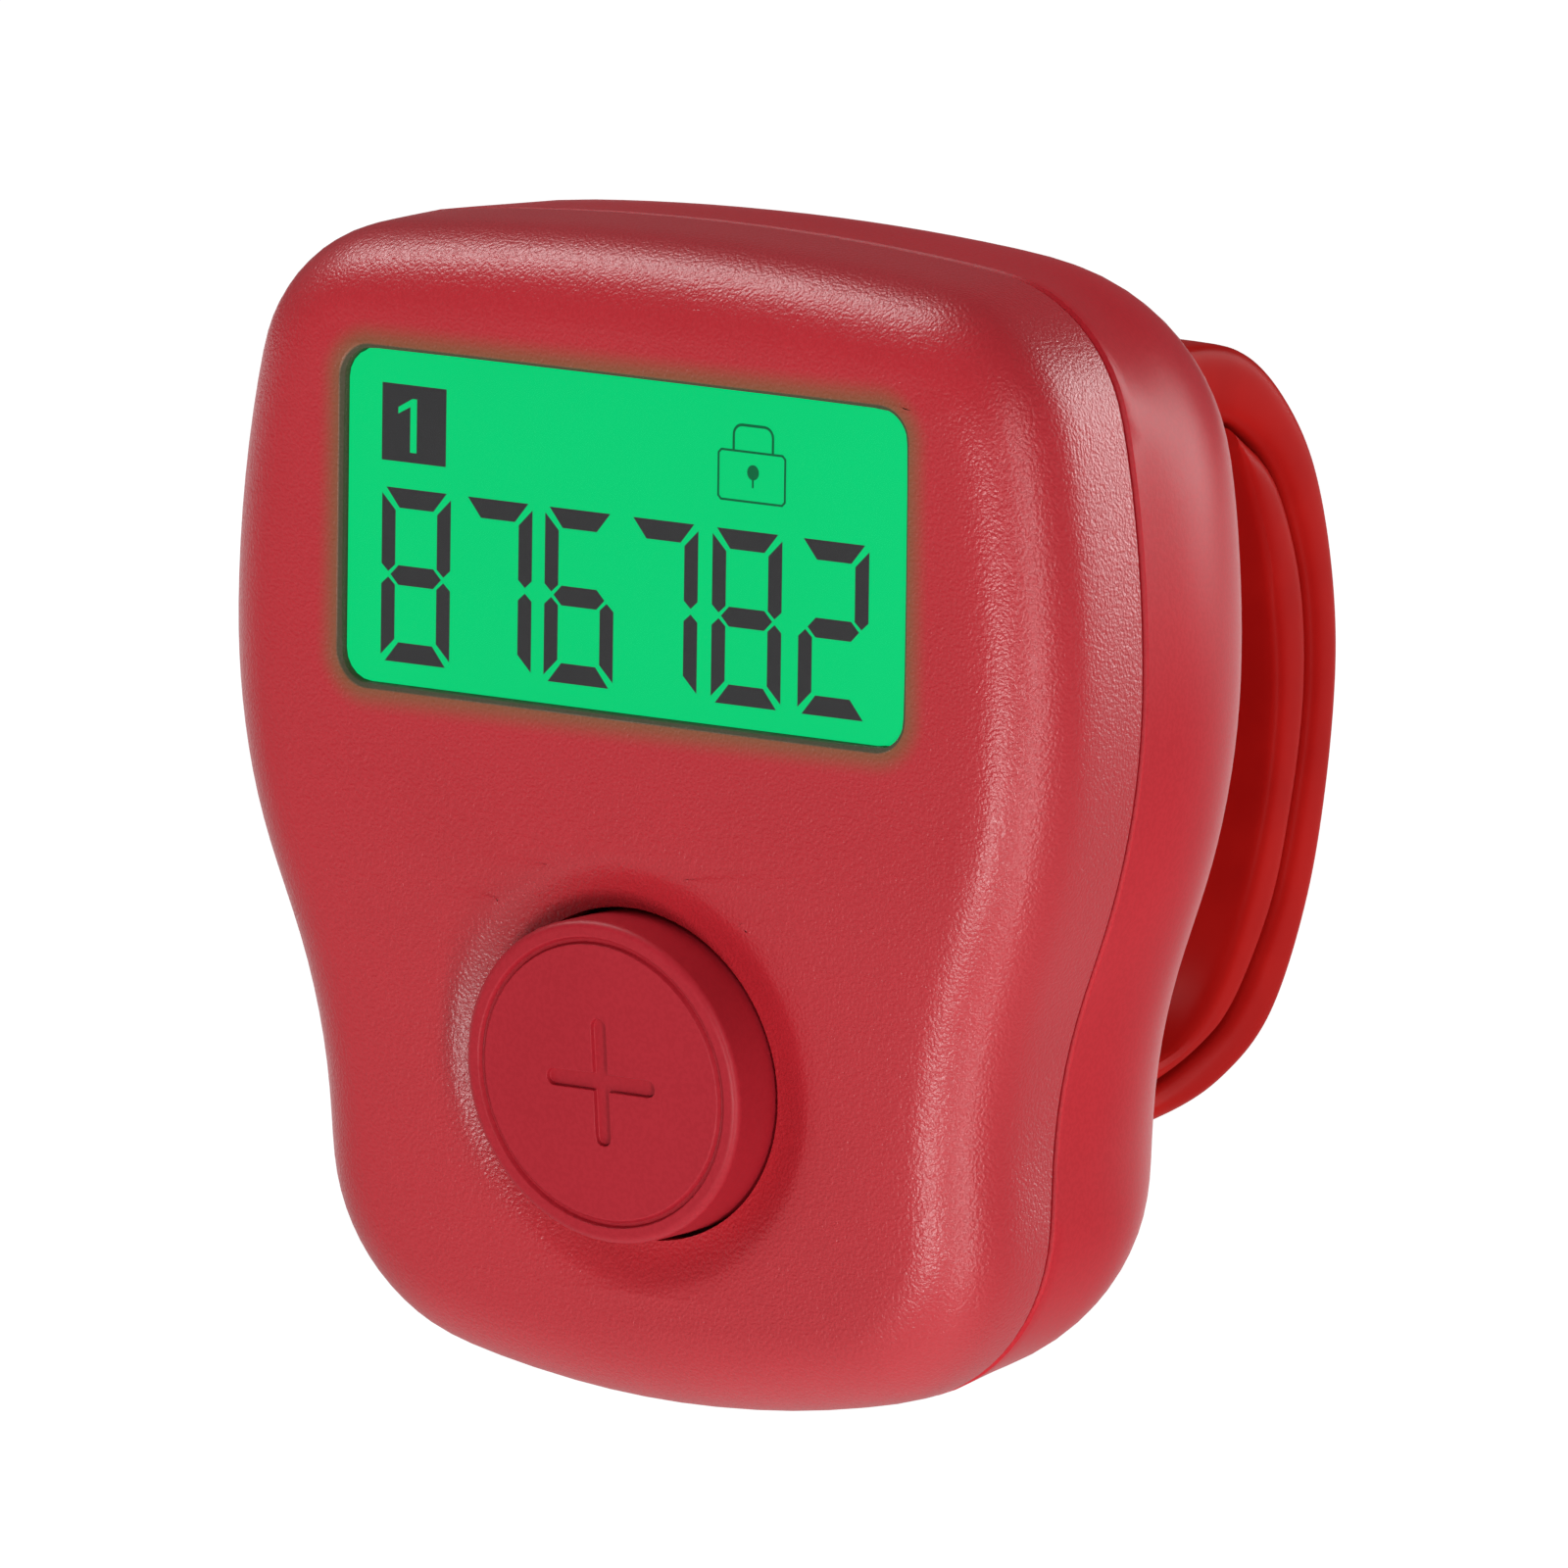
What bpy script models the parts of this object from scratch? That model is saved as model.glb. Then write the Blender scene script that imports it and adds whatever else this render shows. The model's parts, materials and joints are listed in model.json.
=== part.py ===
"""Digital tally counter worn on a finger: a two-part moulded case, a lit display, one round
count button, a small mode button, a coin cell behind a screwed door and a two-piece strap.

World axes: X to the wearer's right, Z up the display, Y from the display towards the finger.
The origin is the middle of the flat back that rests on the finger. Sizes are in millimetres
and are turned into metres when a mesh is made.
"""
import math

import bmesh
import bpy
import numpy as np
from mathutils import Matrix, Vector

MM = 0.001

# Facets round the button and its dish, the cell, the bosses, their bores, and the screws.
ROUND_STEPS = 56
DISH_STEPS = 8
WELL_STEPS = 56
BOSS_STEPS = 24
BORE_STEPS = 28
PILOT_STEPS = 20

# Case outline: seven tangent arcs a side, read from the top centre down to the bottom centre.
BODY_TOP = 20.0
BODY_BOTTOM = -22.0
BODY_HALF_WIDTH = 18.0
WIDEST_Z = 5.2
CROWN_R = 105.0
CORNER_R = 6.0
SIDE_R = 45.0
SHOULDER_R = 27.0
WAIST_R = 21.0
LOBE_HALF_WIDTH = 14.5
LOBE_CORNER_R = 7.2
BASE_R = 38.0
ARC_STEPS = (4, 6, 4, 6, 5, 7, 3)

# Case depth, walls and the parting line.
BODY_DEPTH = 16.5
SEAM_DEPTH = 6.2
SEAM_GAP = 0.16
SEAM_CHAMFER = 0.12
WALL = 1.5
BACK_WALL = 2.0
FRONT_FILLET = 3.2
LOWER_TILT_DEG = 5.65
TILT_START_Z = -1.6
TILT_BLEND = 2.0
TONGUE_HEIGHT = 1.5
TONGUE_THICK = 0.6
TONGUE_FIT = 0.15

# Rear shell: it swells a little behind the parting line, then rounds to the flat back.
REAR_CORNER_GAIN = 2.4
REAR_WIDTH_GAIN = 0.05
REAR_LOBE_GAIN = 0.08
REAR_LOBE_CORNER_GAIN = 0.4
REAR_TOP_DROP = 0.08
REAR_BOTTOM_RISE = 0.3
REAR_FLAT_SIDE = 3.0
REAR_ROUND_INSET = 5.0
REAR_INNER_INSET = 5.6

FIT = 0.1
SIDE_FIT = 0.15
RUN_FIT = 0.18

# Display.
DISPLAY_Z = 9.2
WINDOW_MARGIN = 6.0
WINDOW_H = 12.0
WINDOW_R = 1.2
WINDOW_CHAMFER = 0.15
WINDOW_WALL = 0.8
LENS_RECESS = 0.15
LENS_T = 0.15
LENS_GAP = 0.05
LENS_FIT = 0.1
PANEL_LIP = 0.65
PANEL_LIP_T = 1.6
GUIDE_T = 4.2
ZEBRA_H = 1.0
LED_LENGTH = 2.8
LED_DEPTH = 1.7
LED_THICK = 0.9
FRAME_WALL = 0.7
FRAME_SETBACK = 0.4

# Count button, its dish and its switch.
BUTTON_Z = -9.65
BUTTON_R = 5.82
BUTTON_TIP_DEG = 5.8
BUTTON_PROUD = 0.79
BUTTON_EDGE = 0.3
BUTTON_FACE_T = 1.4
BUTTON_SKIRT_T = 1.1
BUTTON_FLANGE_OVER = 0.45
BUTTON_FLANGE_T = 0.8
BUTTON_POST_R = 1.8
BUTTON_TRAVEL = 0.5
RING_GROOVE_R = 5.1
PLUS_REACH = 2.3
PLUS_WIDTH = 0.62
GROOVE_W = 0.28
GROOVE_DEPTH = 0.2
DISH_RIM_R = 7.85
DISH_DEPTH = 0.66
DISH_ROLL = 0.31
DISH_LIFT = 0.03
COLLAR_R = 8.3
COLLAR_SETBACK = 3.6
SWITCH_SIZE = 4.5
SWITCH_HEIGHT = 1.6
PLUNGER_R = 1.3
PLUNGER_PROUD = 0.8
PLUNGER_HELD = 0.4

# Board and what is soldered to it.
BOARD_T = 1.0
BOARD_INSET = 2.9
BLOB_R = 2.8
BLOB_H = 1.2
CHIP_Z = 14.0
CRYSTAL_R = 0.9
CRYSTAL_L = 5.2
CRYSTAL_X = 5.0
CRYSTAL_Z = 14.2
BOSS_CLEAR = 0.3

# Small soldered parts: name, finish, centre (x, z), length, width, height and edge.
SMALL_PARTS = (
    ("filter_capacitor", "tan_ceramic", -7.2, 13.6, 2.4, 1.4, 1.1, 0.15),
    ("resistor_1", "black_resin", -7.5, 11.65, 1.8, 0.9, 0.5, 0.08),
    ("resistor_2", "black_resin", 7.3, 11.45, 1.8, 0.9, 0.5, 0.08))

# Mode button on the side, in the rear shell.
MODE_Z = 5.0
MODE_LENGTH = 4.6
MODE_WIDTH = 1.7
MODE_PROUD = 0.4
MODE_FLANGE_OVER = 0.6
MODE_FLANGE_T = 0.7
MODE_TRAVEL = 0.3
MODE_SWITCH_REACH = 4.6
MODE_SWITCH_L = 4.8
MODE_SWITCH_D = 3.0
MODE_SWITCH_H = 2.6
MODE_PLUNGER_L = 2.0
MODE_PLUNGER_W = 1.0
MODE_PLUNGER_PROUD = 1.2

# Coin cell, its well, its contacts and its door.
CELL_R = 8.0
CELL_T = 3.2
CELL_Z = 1.2
CELL_FIT = 0.3
WELL_WALL = 1.0
WELL_DEPTH = 6.2
CELL_SEAT = 0.3
CELL_STEP = 1.0
CONTACT_T = 0.22
CONTACT_W = 2.6
CONTACT_FOOT = (-5.2, -2.9)
CONTACT_TOUCH = (0.6, 1.8)
CONTACT_BEND = 0.8
CONTACT_RISE = 0.35
CONTACT_TIP = 0.9
CONTACT_TIP_LIFT = 0.5
CONTACT_SLOT = 0.4
SIDE_FOOT_L = 1.2
DOOR_HALF_WIDTH = 8.7
DOOR_TOP = 9.5
DOOR_BOTTOM = -9.7
DOOR_R = 3.5
DOOR_T = 0.9
DOOR_TAB_W = 2.5
DOOR_TAB_X = 5.2
DOOR_TAB_REACH = 0.9
DOOR_TAB_T = 0.7
DOOR_SCREW_Z = -8.45

# Screws: head radius, head thickness, shank radius.
CASE_SCREW = (1.35, 0.9, 0.7)
BOARD_SCREW = (1.15, 0.6, 0.5)
DOOR_SCREW = (1.0, 0.5, 0.5)
CASE_SCREW_X = 11.2
CASE_SCREW_Z = -1.2
LOW_SCREW_Z = -17.9
FRONT_BOSS_R = 1.5
REAR_BOSS_R = 1.95
CASE_SCREW_SINK = 0.9
LOW_SCREW_SINK = 1.3
CASE_SCREW_LENGTH = 11.0
BOARD_SCREW_X = 9.7
BOARD_SCREW_Z = -14.4
BOARD_BOSS_R = 1.4
BOARD_SCREW_LENGTH = 4.2
DOOR_SCREW_LENGTH = 3.6
DRIVE_DEPTH = 0.35

# Strap: pin centres (y, z), then the faces drawn in the same plane.
STRAP_HALF_WIDTH = 7.0
STRAP_EDGE_R = 0.58
LAYER_GAP = 0.14
PIN_R = 0.55
PIN_FIT = 0.07
KNUCKLE_R = 1.6
LUG_GAP = 0.2
LUG_T = 1.6
LUG_R = 1.75
LUG_BASE = 1.9
UPPER_PIN = (2.5, 12.2)
LOWER_PIN = (2.5, -12.1)
STRAP_STATIONS = 36
OUTER_FACE = (
    (2.5, 13.75), (6.5, 14.0), (10.85, 13.85), (13.6, 12.75), (16.1, 10.35), (17.45, 7.95),
    (18.4, 4.6), (18.7, 1.3), (18.2, -3.0), (17.0, -7.25), (14.65, -11.2), (11.5, -13.0),
    (8.8, -13.65), (5.7, -13.95))
PARTING_FACE = (
    (11.5, 10.8), (14.1, 9.1), (15.5, 6.9), (16.4, 4.4), (16.7, 1.6), (16.5, -1.0),
    (15.9, -3.7), (15.1, -6.3), (13.9, -8.4), (12.2, -10.5), (10.6, -11.4), (8.7, -12.1))
OUTER_ROOT = ((2.5, 11.35), (6.0, 11.35), (9.2, 11.3))
OUTER_TIP = ((7.1, -12.55), (5.7, -12.85))
INNER_FOOT = ((7.1, -12.55), (5.7, -12.75), (4.2, -13.2), (2.5, -13.6))
INNER_FACE = (
    (12.0, 9.6), (12.8, 8.3), (13.9, 5.4), (14.55, 1.6), (14.35, -1.6), (13.6, -4.5),
    (12.45, -7.1), (10.95, -9.4), (8.95, -11.0), (6.9, -11.5), (4.6, -11.2), (2.5, -10.6))

FRONT_Y = -BODY_DEPTH
SEAM_Y = FRONT_Y + SEAM_DEPTH
HOLE_R = BUTTON_R + RUN_FIT
POCKET_Y = FRONT_Y + WINDOW_WALL
PANEL_Y = FRONT_Y + LENS_RECESS + LENS_T + LENS_GAP
PANEL_BACK_Y = POCKET_Y + FIT + PANEL_LIP_T
WINDOW_W = 2 * (BODY_HALF_WIDTH - WINDOW_MARGIN)
PANEL_W = WINDOW_W + 2 * PANEL_LIP
PANEL_H = WINDOW_H + 2 * PANEL_LIP
BOARD_Y = PANEL_BACK_Y + FIT + GUIDE_T + FIT
BOARD_BACK_Y = BOARD_Y + BOARD_T
MODE_Y = BOARD_BACK_Y + FIT + MODE_SWITCH_H / 2
REAR_ROUND_DEPTH = BODY_DEPTH - SEAM_DEPTH - REAR_FLAT_SIDE
COLLAR_Y = FRONT_Y + COLLAR_SETBACK
SWITCH_Y = BOARD_Y - FIT - SWITCH_HEIGHT
PLUNGER_Y = SWITCH_Y - PLUNGER_PROUD

COLOURS = {
    "front_plastic": ((0.42, 0.022, 0.035), 0.0, 0.55),
    "rear_plastic": ((0.50, 0.025, 0.040), 0.0, 0.42),
    "button_plastic": ((0.42, 0.022, 0.035), 0.0, 0.5),
    "strap_rubber": ((0.45, 0.012, 0.010), 0.0, 0.3),
    "lens_clear": ((0.75, 0.95, 0.85), 0.0, 0.1),
    "display_glass": ((0.0, 0.62, 0.18), 0.0, 0.3),
    "frame_white": ((0.85, 0.85, 0.83), 0.0, 0.5),
    "guide_clear": ((0.8, 0.9, 0.85), 0.0, 0.2),
    "led_white": ((0.9, 0.9, 0.75), 0.0, 0.4),
    "connector_rubber": ((0.35, 0.33, 0.36), 0.0, 0.7),
    "board_green": ((0.02, 0.17, 0.06), 0.0, 0.45),
    "black_resin": ((0.015, 0.015, 0.017), 0.0, 0.4),
    "tan_ceramic": ((0.45, 0.33, 0.2), 0.0, 0.5),
    "bright_steel": ((0.62, 0.62, 0.60), 1.0, 0.28),
    "spring_brass": ((0.75, 0.55, 0.25), 1.0, 0.3),
    "white_plastic": ((0.8, 0.8, 0.78), 0.0, 0.5),
}
materials = {}


def material(slot):
    """Return the named material, made on first use."""
    if slot not in materials:
        colour, metallic, roughness = COLOURS[slot]
        made = bpy.data.materials.new(slot)
        made.use_nodes = True
        shader = made.node_tree.nodes["Principled BSDF"]
        shader.inputs["Base Color"].default_value = (*colour, 1.0)
        shader.inputs["Metallic"].default_value = metallic
        shader.inputs["Roughness"].default_value = roughness
        made.diffuse_color = (*colour, 1.0)
        materials[slot] = made
    return materials[slot]


def make(name, points, faces, slot, origin=(0.0, 0.0, 0.0)):
    """Make an object from points in millimetres, with its own origin on a joint axis."""
    mesh = bpy.data.meshes.new(name)
    base = Vector(origin)
    mesh.from_pydata([(Vector(p) - base) * MM for p in points], [], faces)
    work = bmesh.new()
    work.from_mesh(mesh)
    bmesh.ops.recalc_face_normals(work, faces=work.faces[:])
    work.to_mesh(mesh)
    work.free()
    item = bpy.data.objects.new(name, mesh)
    item.location = base * MM
    bpy.context.scene.collection.objects.link(item)
    mesh.materials.append(material(slot))
    return item


def shape(item, additions=(), cuts=()):
    """Add and cut closed shapes, keep the result and drop the shapes used."""
    for operation, tools in (("UNION", additions), ("DIFFERENCE", cuts)):
        for tool in tools:
            tool.hide_render = True
            tool.display_type = "WIRE"
            modifier = item.modifiers.new(operation.lower(), "BOOLEAN")
            modifier.operation = operation
            modifier.solver = "EXACT"
            modifier.object = tool
    bpy.context.view_layer.update()
    graph = bpy.context.evaluated_depsgraph_get()
    result = bpy.data.meshes.new_from_object(item.evaluated_get(graph))
    item.modifiers.clear()
    item.data = result
    for tool in (*additions, *cuts):
        bpy.data.objects.remove(tool, do_unlink=True)
    return item


def smooth(item, degrees=35.0):
    """Shade the rounded faces smooth and keep edges sharper than the angle."""
    for face in item.data.polygons:
        face.use_smooth = True
    item.data.set_sharp_from_angle(angle=math.radians(degrees))
    return item


def skin(rings, caps):
    """Join equal rings of points into one closed skin; caps is 'strip' or 'flat'."""
    count = len(rings[0])
    points = [p for ring in rings for p in ring]
    faces = []
    for level in range(len(rings) - 1):
        low = level * count
        high = low + count
        for i in range(count):
            j = (i + 1) % count
            faces.append((low + i, low + j, high + j, high + i))
    for base in (0, (len(rings) - 1) * count):
        if caps == "flat":
            faces.append(tuple(base + i for i in range(count)))
            continue
        half = count // 2
        faces.append((base, base + 1, base + count - 1))
        faces.append((base + half - 1, base + half, base + half + 1))
        for i in range(1, half - 1):
            faces.append((base + i, base + i + 1, base + count - i - 1, base + count - i))
    return points, faces


def lathe(name, profile, centre, slot, steps=40, origin=(0.0, 0.0, 0.0), tip=None):
    """Turn (radius, y) steps about a Y axis through centre (x, z); ends on the axis close it."""
    points = []
    rings = []
    for radius, y in profile:
        if radius < 1e-6:
            rings.append([len(points)])
            points.append((centre[0], y, centre[1]))
            continue
        start = len(points)
        for k in range(steps):
            angle = 2 * math.pi * k / steps
            points.append((centre[0] + radius * math.cos(angle), y,
                           centre[1] + radius * math.sin(angle)))
        rings.append(list(range(start, start + steps)))
    faces = []
    for a, b in zip(rings, rings[1:]):
        for k in range(steps):
            n = (k + 1) % steps
            if len(a) == 1:
                faces.append((a[0], b[n], b[k]))
            elif len(b) == 1:
                faces.append((a[k], a[n], b[0]))
            else:
                faces.append((a[k], a[n], b[n], b[k]))
    if len(rings[0]) > 1 and len(rings[-1]) > 1:
        a, b = rings[-1], rings[0]
        for k in range(steps):
            n = (k + 1) % steps
            faces.append((a[k], a[n], b[n], b[k]))
    if tip is not None:
        points = [tip(p) for p in points]
    return make(name, points, faces, slot, origin)


def disc(name, radius, y0, y1, centre, slot, steps=32):
    """Make a plain round bar along Y."""
    return lathe(name, [(0, y0), (radius, y0), (radius, y1), (0, y1)], centre, slot, steps)


def rod_x(name, radius, x0, x1, centre, slot, edge=0.0, steps=28):
    """Make a round bar along X with its centre at (y, z) and rounded-off ends."""
    bar = [(0, x0), (radius - edge, x0), (radius, x0 + edge),
           (radius, x1 - edge), (radius - edge, x1), (0, x1)]
    if edge == 0.0:
        bar = [bar[0], bar[1], bar[4], bar[5]]
    item = lathe(name, bar, (0.0, 0.0), slot, steps)
    turn = Matrix(((0, 1, 0, 0), (0, 0, 1, centre[0] * MM), (1, 0, 0, centre[1] * MM),
                   (0, 0, 0, 1)))
    item.data.transform(turn)
    return item


def rounded(width, height, radius, steps=5):
    """Return a rounded rectangle as (x, z) points about its centre, from the top centre."""
    half_w = width / 2
    half_h = height / 2
    points = [(0.0, half_h)]
    corners = ((half_w - radius, half_h - radius, 90.0), (half_w - radius, radius - half_h, 0.0))
    for cx, cz, start in corners:
        for k in range(steps + 1):
            angle = math.radians(start - 90.0 * k / steps)
            points.append((cx + radius * math.cos(angle), cz + radius * math.sin(angle)))
    points.append((0.0, -half_h))
    left = [(-x, z) for x, z in reversed(points[1:-1])]
    return points + left


def plate(name, outline, levels, slot, centre=(0.0, 0.0), origin=(0.0, 0.0, 0.0)):
    """Stack one outline along Y; levels are (y, growth) with growth moving its edge outward."""
    rings = []
    for y, growth in levels:
        ring = []
        for x, z in outline:
            ring.append((centre[0] + x + math.copysign(growth, x) * (abs(x) > 1e-6), y,
                         centre[1] + z + math.copysign(growth, z)))
        rings.append(ring)
    points, faces = skin(rings, "flat")
    return make(name, points, faces, slot, origin)


def block(name, low, high, slot, edge=0.0, origin=(0.0, 0.0, 0.0)):
    """Make a box between two corners, its edges along Y taken off by edge."""
    width = high[0] - low[0]
    height = high[2] - low[2]
    centre = ((low[0] + high[0]) / 2, (low[2] + high[2]) / 2)
    if edge > 0.0:
        outline = rounded(width, height, edge, 2)
    else:
        outline = [(width / 2, height / 2), (width / 2, -height / 2),
                   (-width / 2, -height / 2), (-width / 2, height / 2)]
    return plate(name, outline, [(low[1], 0.0), (high[1], 0.0)], slot, centre, origin)


def meet(c0, r0, c1, r1):
    """Return the two points at r0 from c0 and r1 from c1."""
    gap = c1 - c0
    length = np.hypot(*gap)
    along = (r0 ** 2 - r1 ** 2 + length ** 2) / (2 * length)
    side = math.sqrt(max(r0 ** 2 - along ** 2, 0.0))
    unit = gap / length
    normal = np.array([-unit[1], unit[0]])
    return [c0 + along * unit + s * side * normal for s in (1, -1)]


def heading(vector):
    """Return the angle of a vector."""
    return math.atan2(vector[1], vector[0])


def half_outline(top, bottom, half_width, corner_r, lobe_half, lobe_r):
    """Return the right half outline as (x, z, nx, nz) rows from the top to the bottom."""
    crown = np.array([0.0, top - CROWN_R])
    side = np.array([half_width - SIDE_R, WIDEST_Z])
    shoulder = np.array([half_width - SHOULDER_R, WIDEST_Z])
    base = np.array([0.0, bottom + BASE_R])
    lobe_x = lobe_half - lobe_r
    lobe = np.array([lobe_x, base[1] - math.sqrt((BASE_R - lobe_r) ** 2 - lobe_x ** 2)])
    corner = max(meet(crown, CROWN_R - corner_r, side, SIDE_R - corner_r), key=lambda c: c[1])
    waist = max(meet(shoulder, SHOULDER_R + WAIST_R, lobe, lobe_r + WAIST_R),
                key=lambda c: c[0])
    arcs = (
        (crown, CROWN_R, math.pi / 2, heading(corner - crown), 1),
        (corner, corner_r, heading(corner - crown), heading(corner - side), 1),
        (side, SIDE_R, heading(corner - side), 0.0, 1),
        (shoulder, SHOULDER_R, 0.0, heading(waist - shoulder), 1),
        (waist, WAIST_R, heading(shoulder - waist) % (2 * math.pi),
         heading(lobe - waist) % (2 * math.pi), -1),
        (lobe, lobe_r, heading(waist - lobe), heading(lobe - base), 1),
        (base, BASE_R, heading(lobe - base), -math.pi / 2, 1))
    rows = []
    for (centre, radius, start, end, sign), steps in zip(arcs, ARC_STEPS):
        for k in range(0 if not rows else 1, steps + 1):
            angle = start + (end - start) * k / steps
            unit = np.array([math.cos(angle), math.sin(angle)])
            rows.append((*(centre + radius * unit), *(sign * unit)))
    return np.array(rows)


def ring(half, inset, y):
    """Return the closed ring of the outline moved inward; y is a number or a rule in z."""
    right = [(x - inset * nx, z - inset * nz) for x, z, nx, nz in half]
    right[0] = (0.0, right[0][1])
    right[-1] = (0.0, right[-1][1])
    flat = right + [(-x, z) for x, z in reversed(right[1:-1])]
    depth = y if callable(y) else (lambda z: y)
    return [(x, depth(z), z) for x, z in flat]


def lean(z):
    """Return how far the lower front leans back at height z."""
    below = TILT_START_Z - z
    slope = math.tan(math.radians(LOWER_TILT_DEG))
    return slope * 0.5 * (below + math.sqrt(below ** 2 + TILT_BLEND ** 2))


def front_rule(depth):
    """Return a rule for a surface that lies depth behind the front face."""
    return lambda z: FRONT_Y + lean(z) + depth


def quarter(steps):
    """Return quarter-turn angles from 0 to 90 degrees."""
    return [math.pi / 2 * k / steps for k in range(steps + 1)]


def arc_rings(half, inset, reach, rule, rise, steps):
    """Return the rings of a quarter ellipse from the face edge out to the side."""
    return [ring(half, inset + reach * (1 - math.sin(a)), rule(rise * (1 - math.cos(a))))
            for a in quarter(steps)]


front_half = half_outline(BODY_TOP, BODY_BOTTOM, BODY_HALF_WIDTH, CORNER_R,
                          LOBE_HALF_WIDTH, LOBE_CORNER_R)
rear_half = half_outline(
    BODY_TOP - REAR_TOP_DROP, BODY_BOTTOM + REAR_BOTTOM_RISE,
    BODY_HALF_WIDTH + REAR_WIDTH_GAIN, CORNER_R + REAR_CORNER_GAIN,
    LOBE_HALF_WIDTH + REAR_LOBE_GAIN, LOBE_CORNER_R + REAR_LOBE_CORNER_GAIN)
CASE_SCREWS = (("case_screw_left", -CASE_SCREW_X, CASE_SCREW_Z, CASE_SCREW_SINK),
               ("case_screw_right", CASE_SCREW_X, CASE_SCREW_Z, CASE_SCREW_SINK),
               ("case_screw_lower", 0.0, LOW_SCREW_Z, LOW_SCREW_SINK))
BOARD_SCREWS = (("board_screw_left", -BOARD_SCREW_X), ("board_screw_right", BOARD_SCREW_X))


def tipped(point):
    """Lean the front of the button by its tip angle."""
    x, y, z = point
    lift = math.tan(math.radians(BUTTON_TIP_DEG)) * (BUTTON_Z - z)
    return (x, y + lift, z)


def on_face(point):
    """Move a point of the dish's cutter back with the leaning front face."""
    x, y, z = point
    stations = [row[2] for row in ring(front_half, FRONT_FILLET, 0.0)[:len(front_half)]][::-1]
    return (x, y + float(np.interp(z, stations, [lean(s) for s in stations])), z)


def front_shell():
    """Build the front shell with its window, dish, button hole, collar and bosses."""
    outer = arc_rings(front_half, 0.0, FRONT_FILLET, front_rule, FRONT_FILLET, 6)
    rim_y = SEAM_Y - SEAM_GAP / 2
    rim = [ring(front_half, 0.0, rim_y - SEAM_CHAMFER), ring(front_half, SEAM_CHAMFER, rim_y),
           ring(front_half, WALL, rim_y)]
    inner_r = FRONT_FILLET - WALL
    inner = arc_rings(front_half, WALL, inner_r, lambda d: front_rule(WALL + d), inner_r, 2)
    item = make("front_shell", *skin(outer + rim + inner[::-1], "strip"), "front_plastic")

    collar = []
    for y in (front_rule(WALL / 2), None):
        turn = []
        for k in range(ROUND_STEPS):
            angle = 2 * math.pi * k / ROUND_STEPS
            x = COLLAR_R * math.cos(angle)
            z = BUTTON_Z + COLLAR_R * math.sin(angle)
            turn.append((x, COLLAR_Y if y is None else y(z), z))
        collar.append(turn)
    additions = [make("collar", *skin(collar, "flat"), "front_plastic")]
    boss_end = rim_y - FIT
    for _, x, z, _ in CASE_SCREWS:
        additions.append(disc("boss", FRONT_BOSS_R, front_rule(WALL / 2)(z), boss_end, (x, z),
                              "front_plastic", BOSS_STEPS))
    for _, x in BOARD_SCREWS:
        additions.append(disc("boss", BOARD_BOSS_R, front_rule(WALL / 2)(BOARD_SCREW_Z),
                              BOARD_Y - FIT, (x, BOARD_SCREW_Z), "front_plastic", BOSS_STEPS))

    window = rounded(WINDOW_W, WINDOW_H, WINDOW_R)
    flare = FRONT_Y + WINDOW_CHAMFER
    above = 1.0
    cuts = [
        plate("window_cut", window, [(FRONT_Y - above, WINDOW_CHAMFER + above),
                                     (flare, 0.0), (FRONT_Y + WALL + above, 0.0)],
              "front_plastic", (0.0, DISPLAY_Z)),
        plate("pocket_cut", rounded(PANEL_W + 2 * SIDE_FIT, PANEL_H + 2 * SIDE_FIT, 0.8, 3),
              [(POCKET_Y, 0.0), (FRONT_Y + WALL + above, 0.0)], "front_plastic",
              (0.0, DISPLAY_Z)),
        lathe("hole_cut", [(0, FRONT_Y - 2), (HOLE_R, FRONT_Y - 2), (HOLE_R, COLLAR_Y + above),
                           (0, COLLAR_Y + above)], (0.0, BUTTON_Z), "front_plastic", ROUND_STEPS)]
    floor_r = HOLE_R - 0.3
    edge_r = DISH_RIM_R + DISH_ROLL
    dish = [(0, FRONT_Y - above), (edge_r, FRONT_Y - above)]
    for k in range(DISH_STEPS + 1):
        s = 1 - k / DISH_STEPS
        sunk = (DISH_DEPTH + DISH_LIFT) * (1 - s * s * (3 - 2 * s))
        dish.append((floor_r + (edge_r - floor_r) * s, FRONT_Y - DISH_LIFT + sunk))
    dish.append((0, FRONT_Y + DISH_DEPTH))
    cuts.append(lathe("dish_cut", dish, (0.0, BUTTON_Z), "front_plastic", ROUND_STEPS,
                      tip=on_face))
    for _, x, z, sink in CASE_SCREWS:
        tip_y = head_seat(sink) - CASE_SCREW_LENGTH
        cuts.append(disc("pilot", CASE_SCREW[2] + FIT, tip_y - 0.4, boss_end + above, (x, z),
                         "front_plastic", PILOT_STEPS))
    board_tip_y = BOARD_BACK_Y + FIT - BOARD_SCREW_LENGTH
    for _, x in BOARD_SCREWS:
        cuts.append(disc("pilot", BOARD_SCREW[2] + FIT, board_tip_y - 0.4, BOARD_Y + above,
                         (x, BOARD_SCREW_Z), "front_plastic", PILOT_STEPS))
    return smooth(shape(item, additions, cuts))


def head_seat(sink):
    """Return the depth of the seat that a case screw's head presses on."""
    return -(sink + CASE_SCREW[1])


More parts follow.
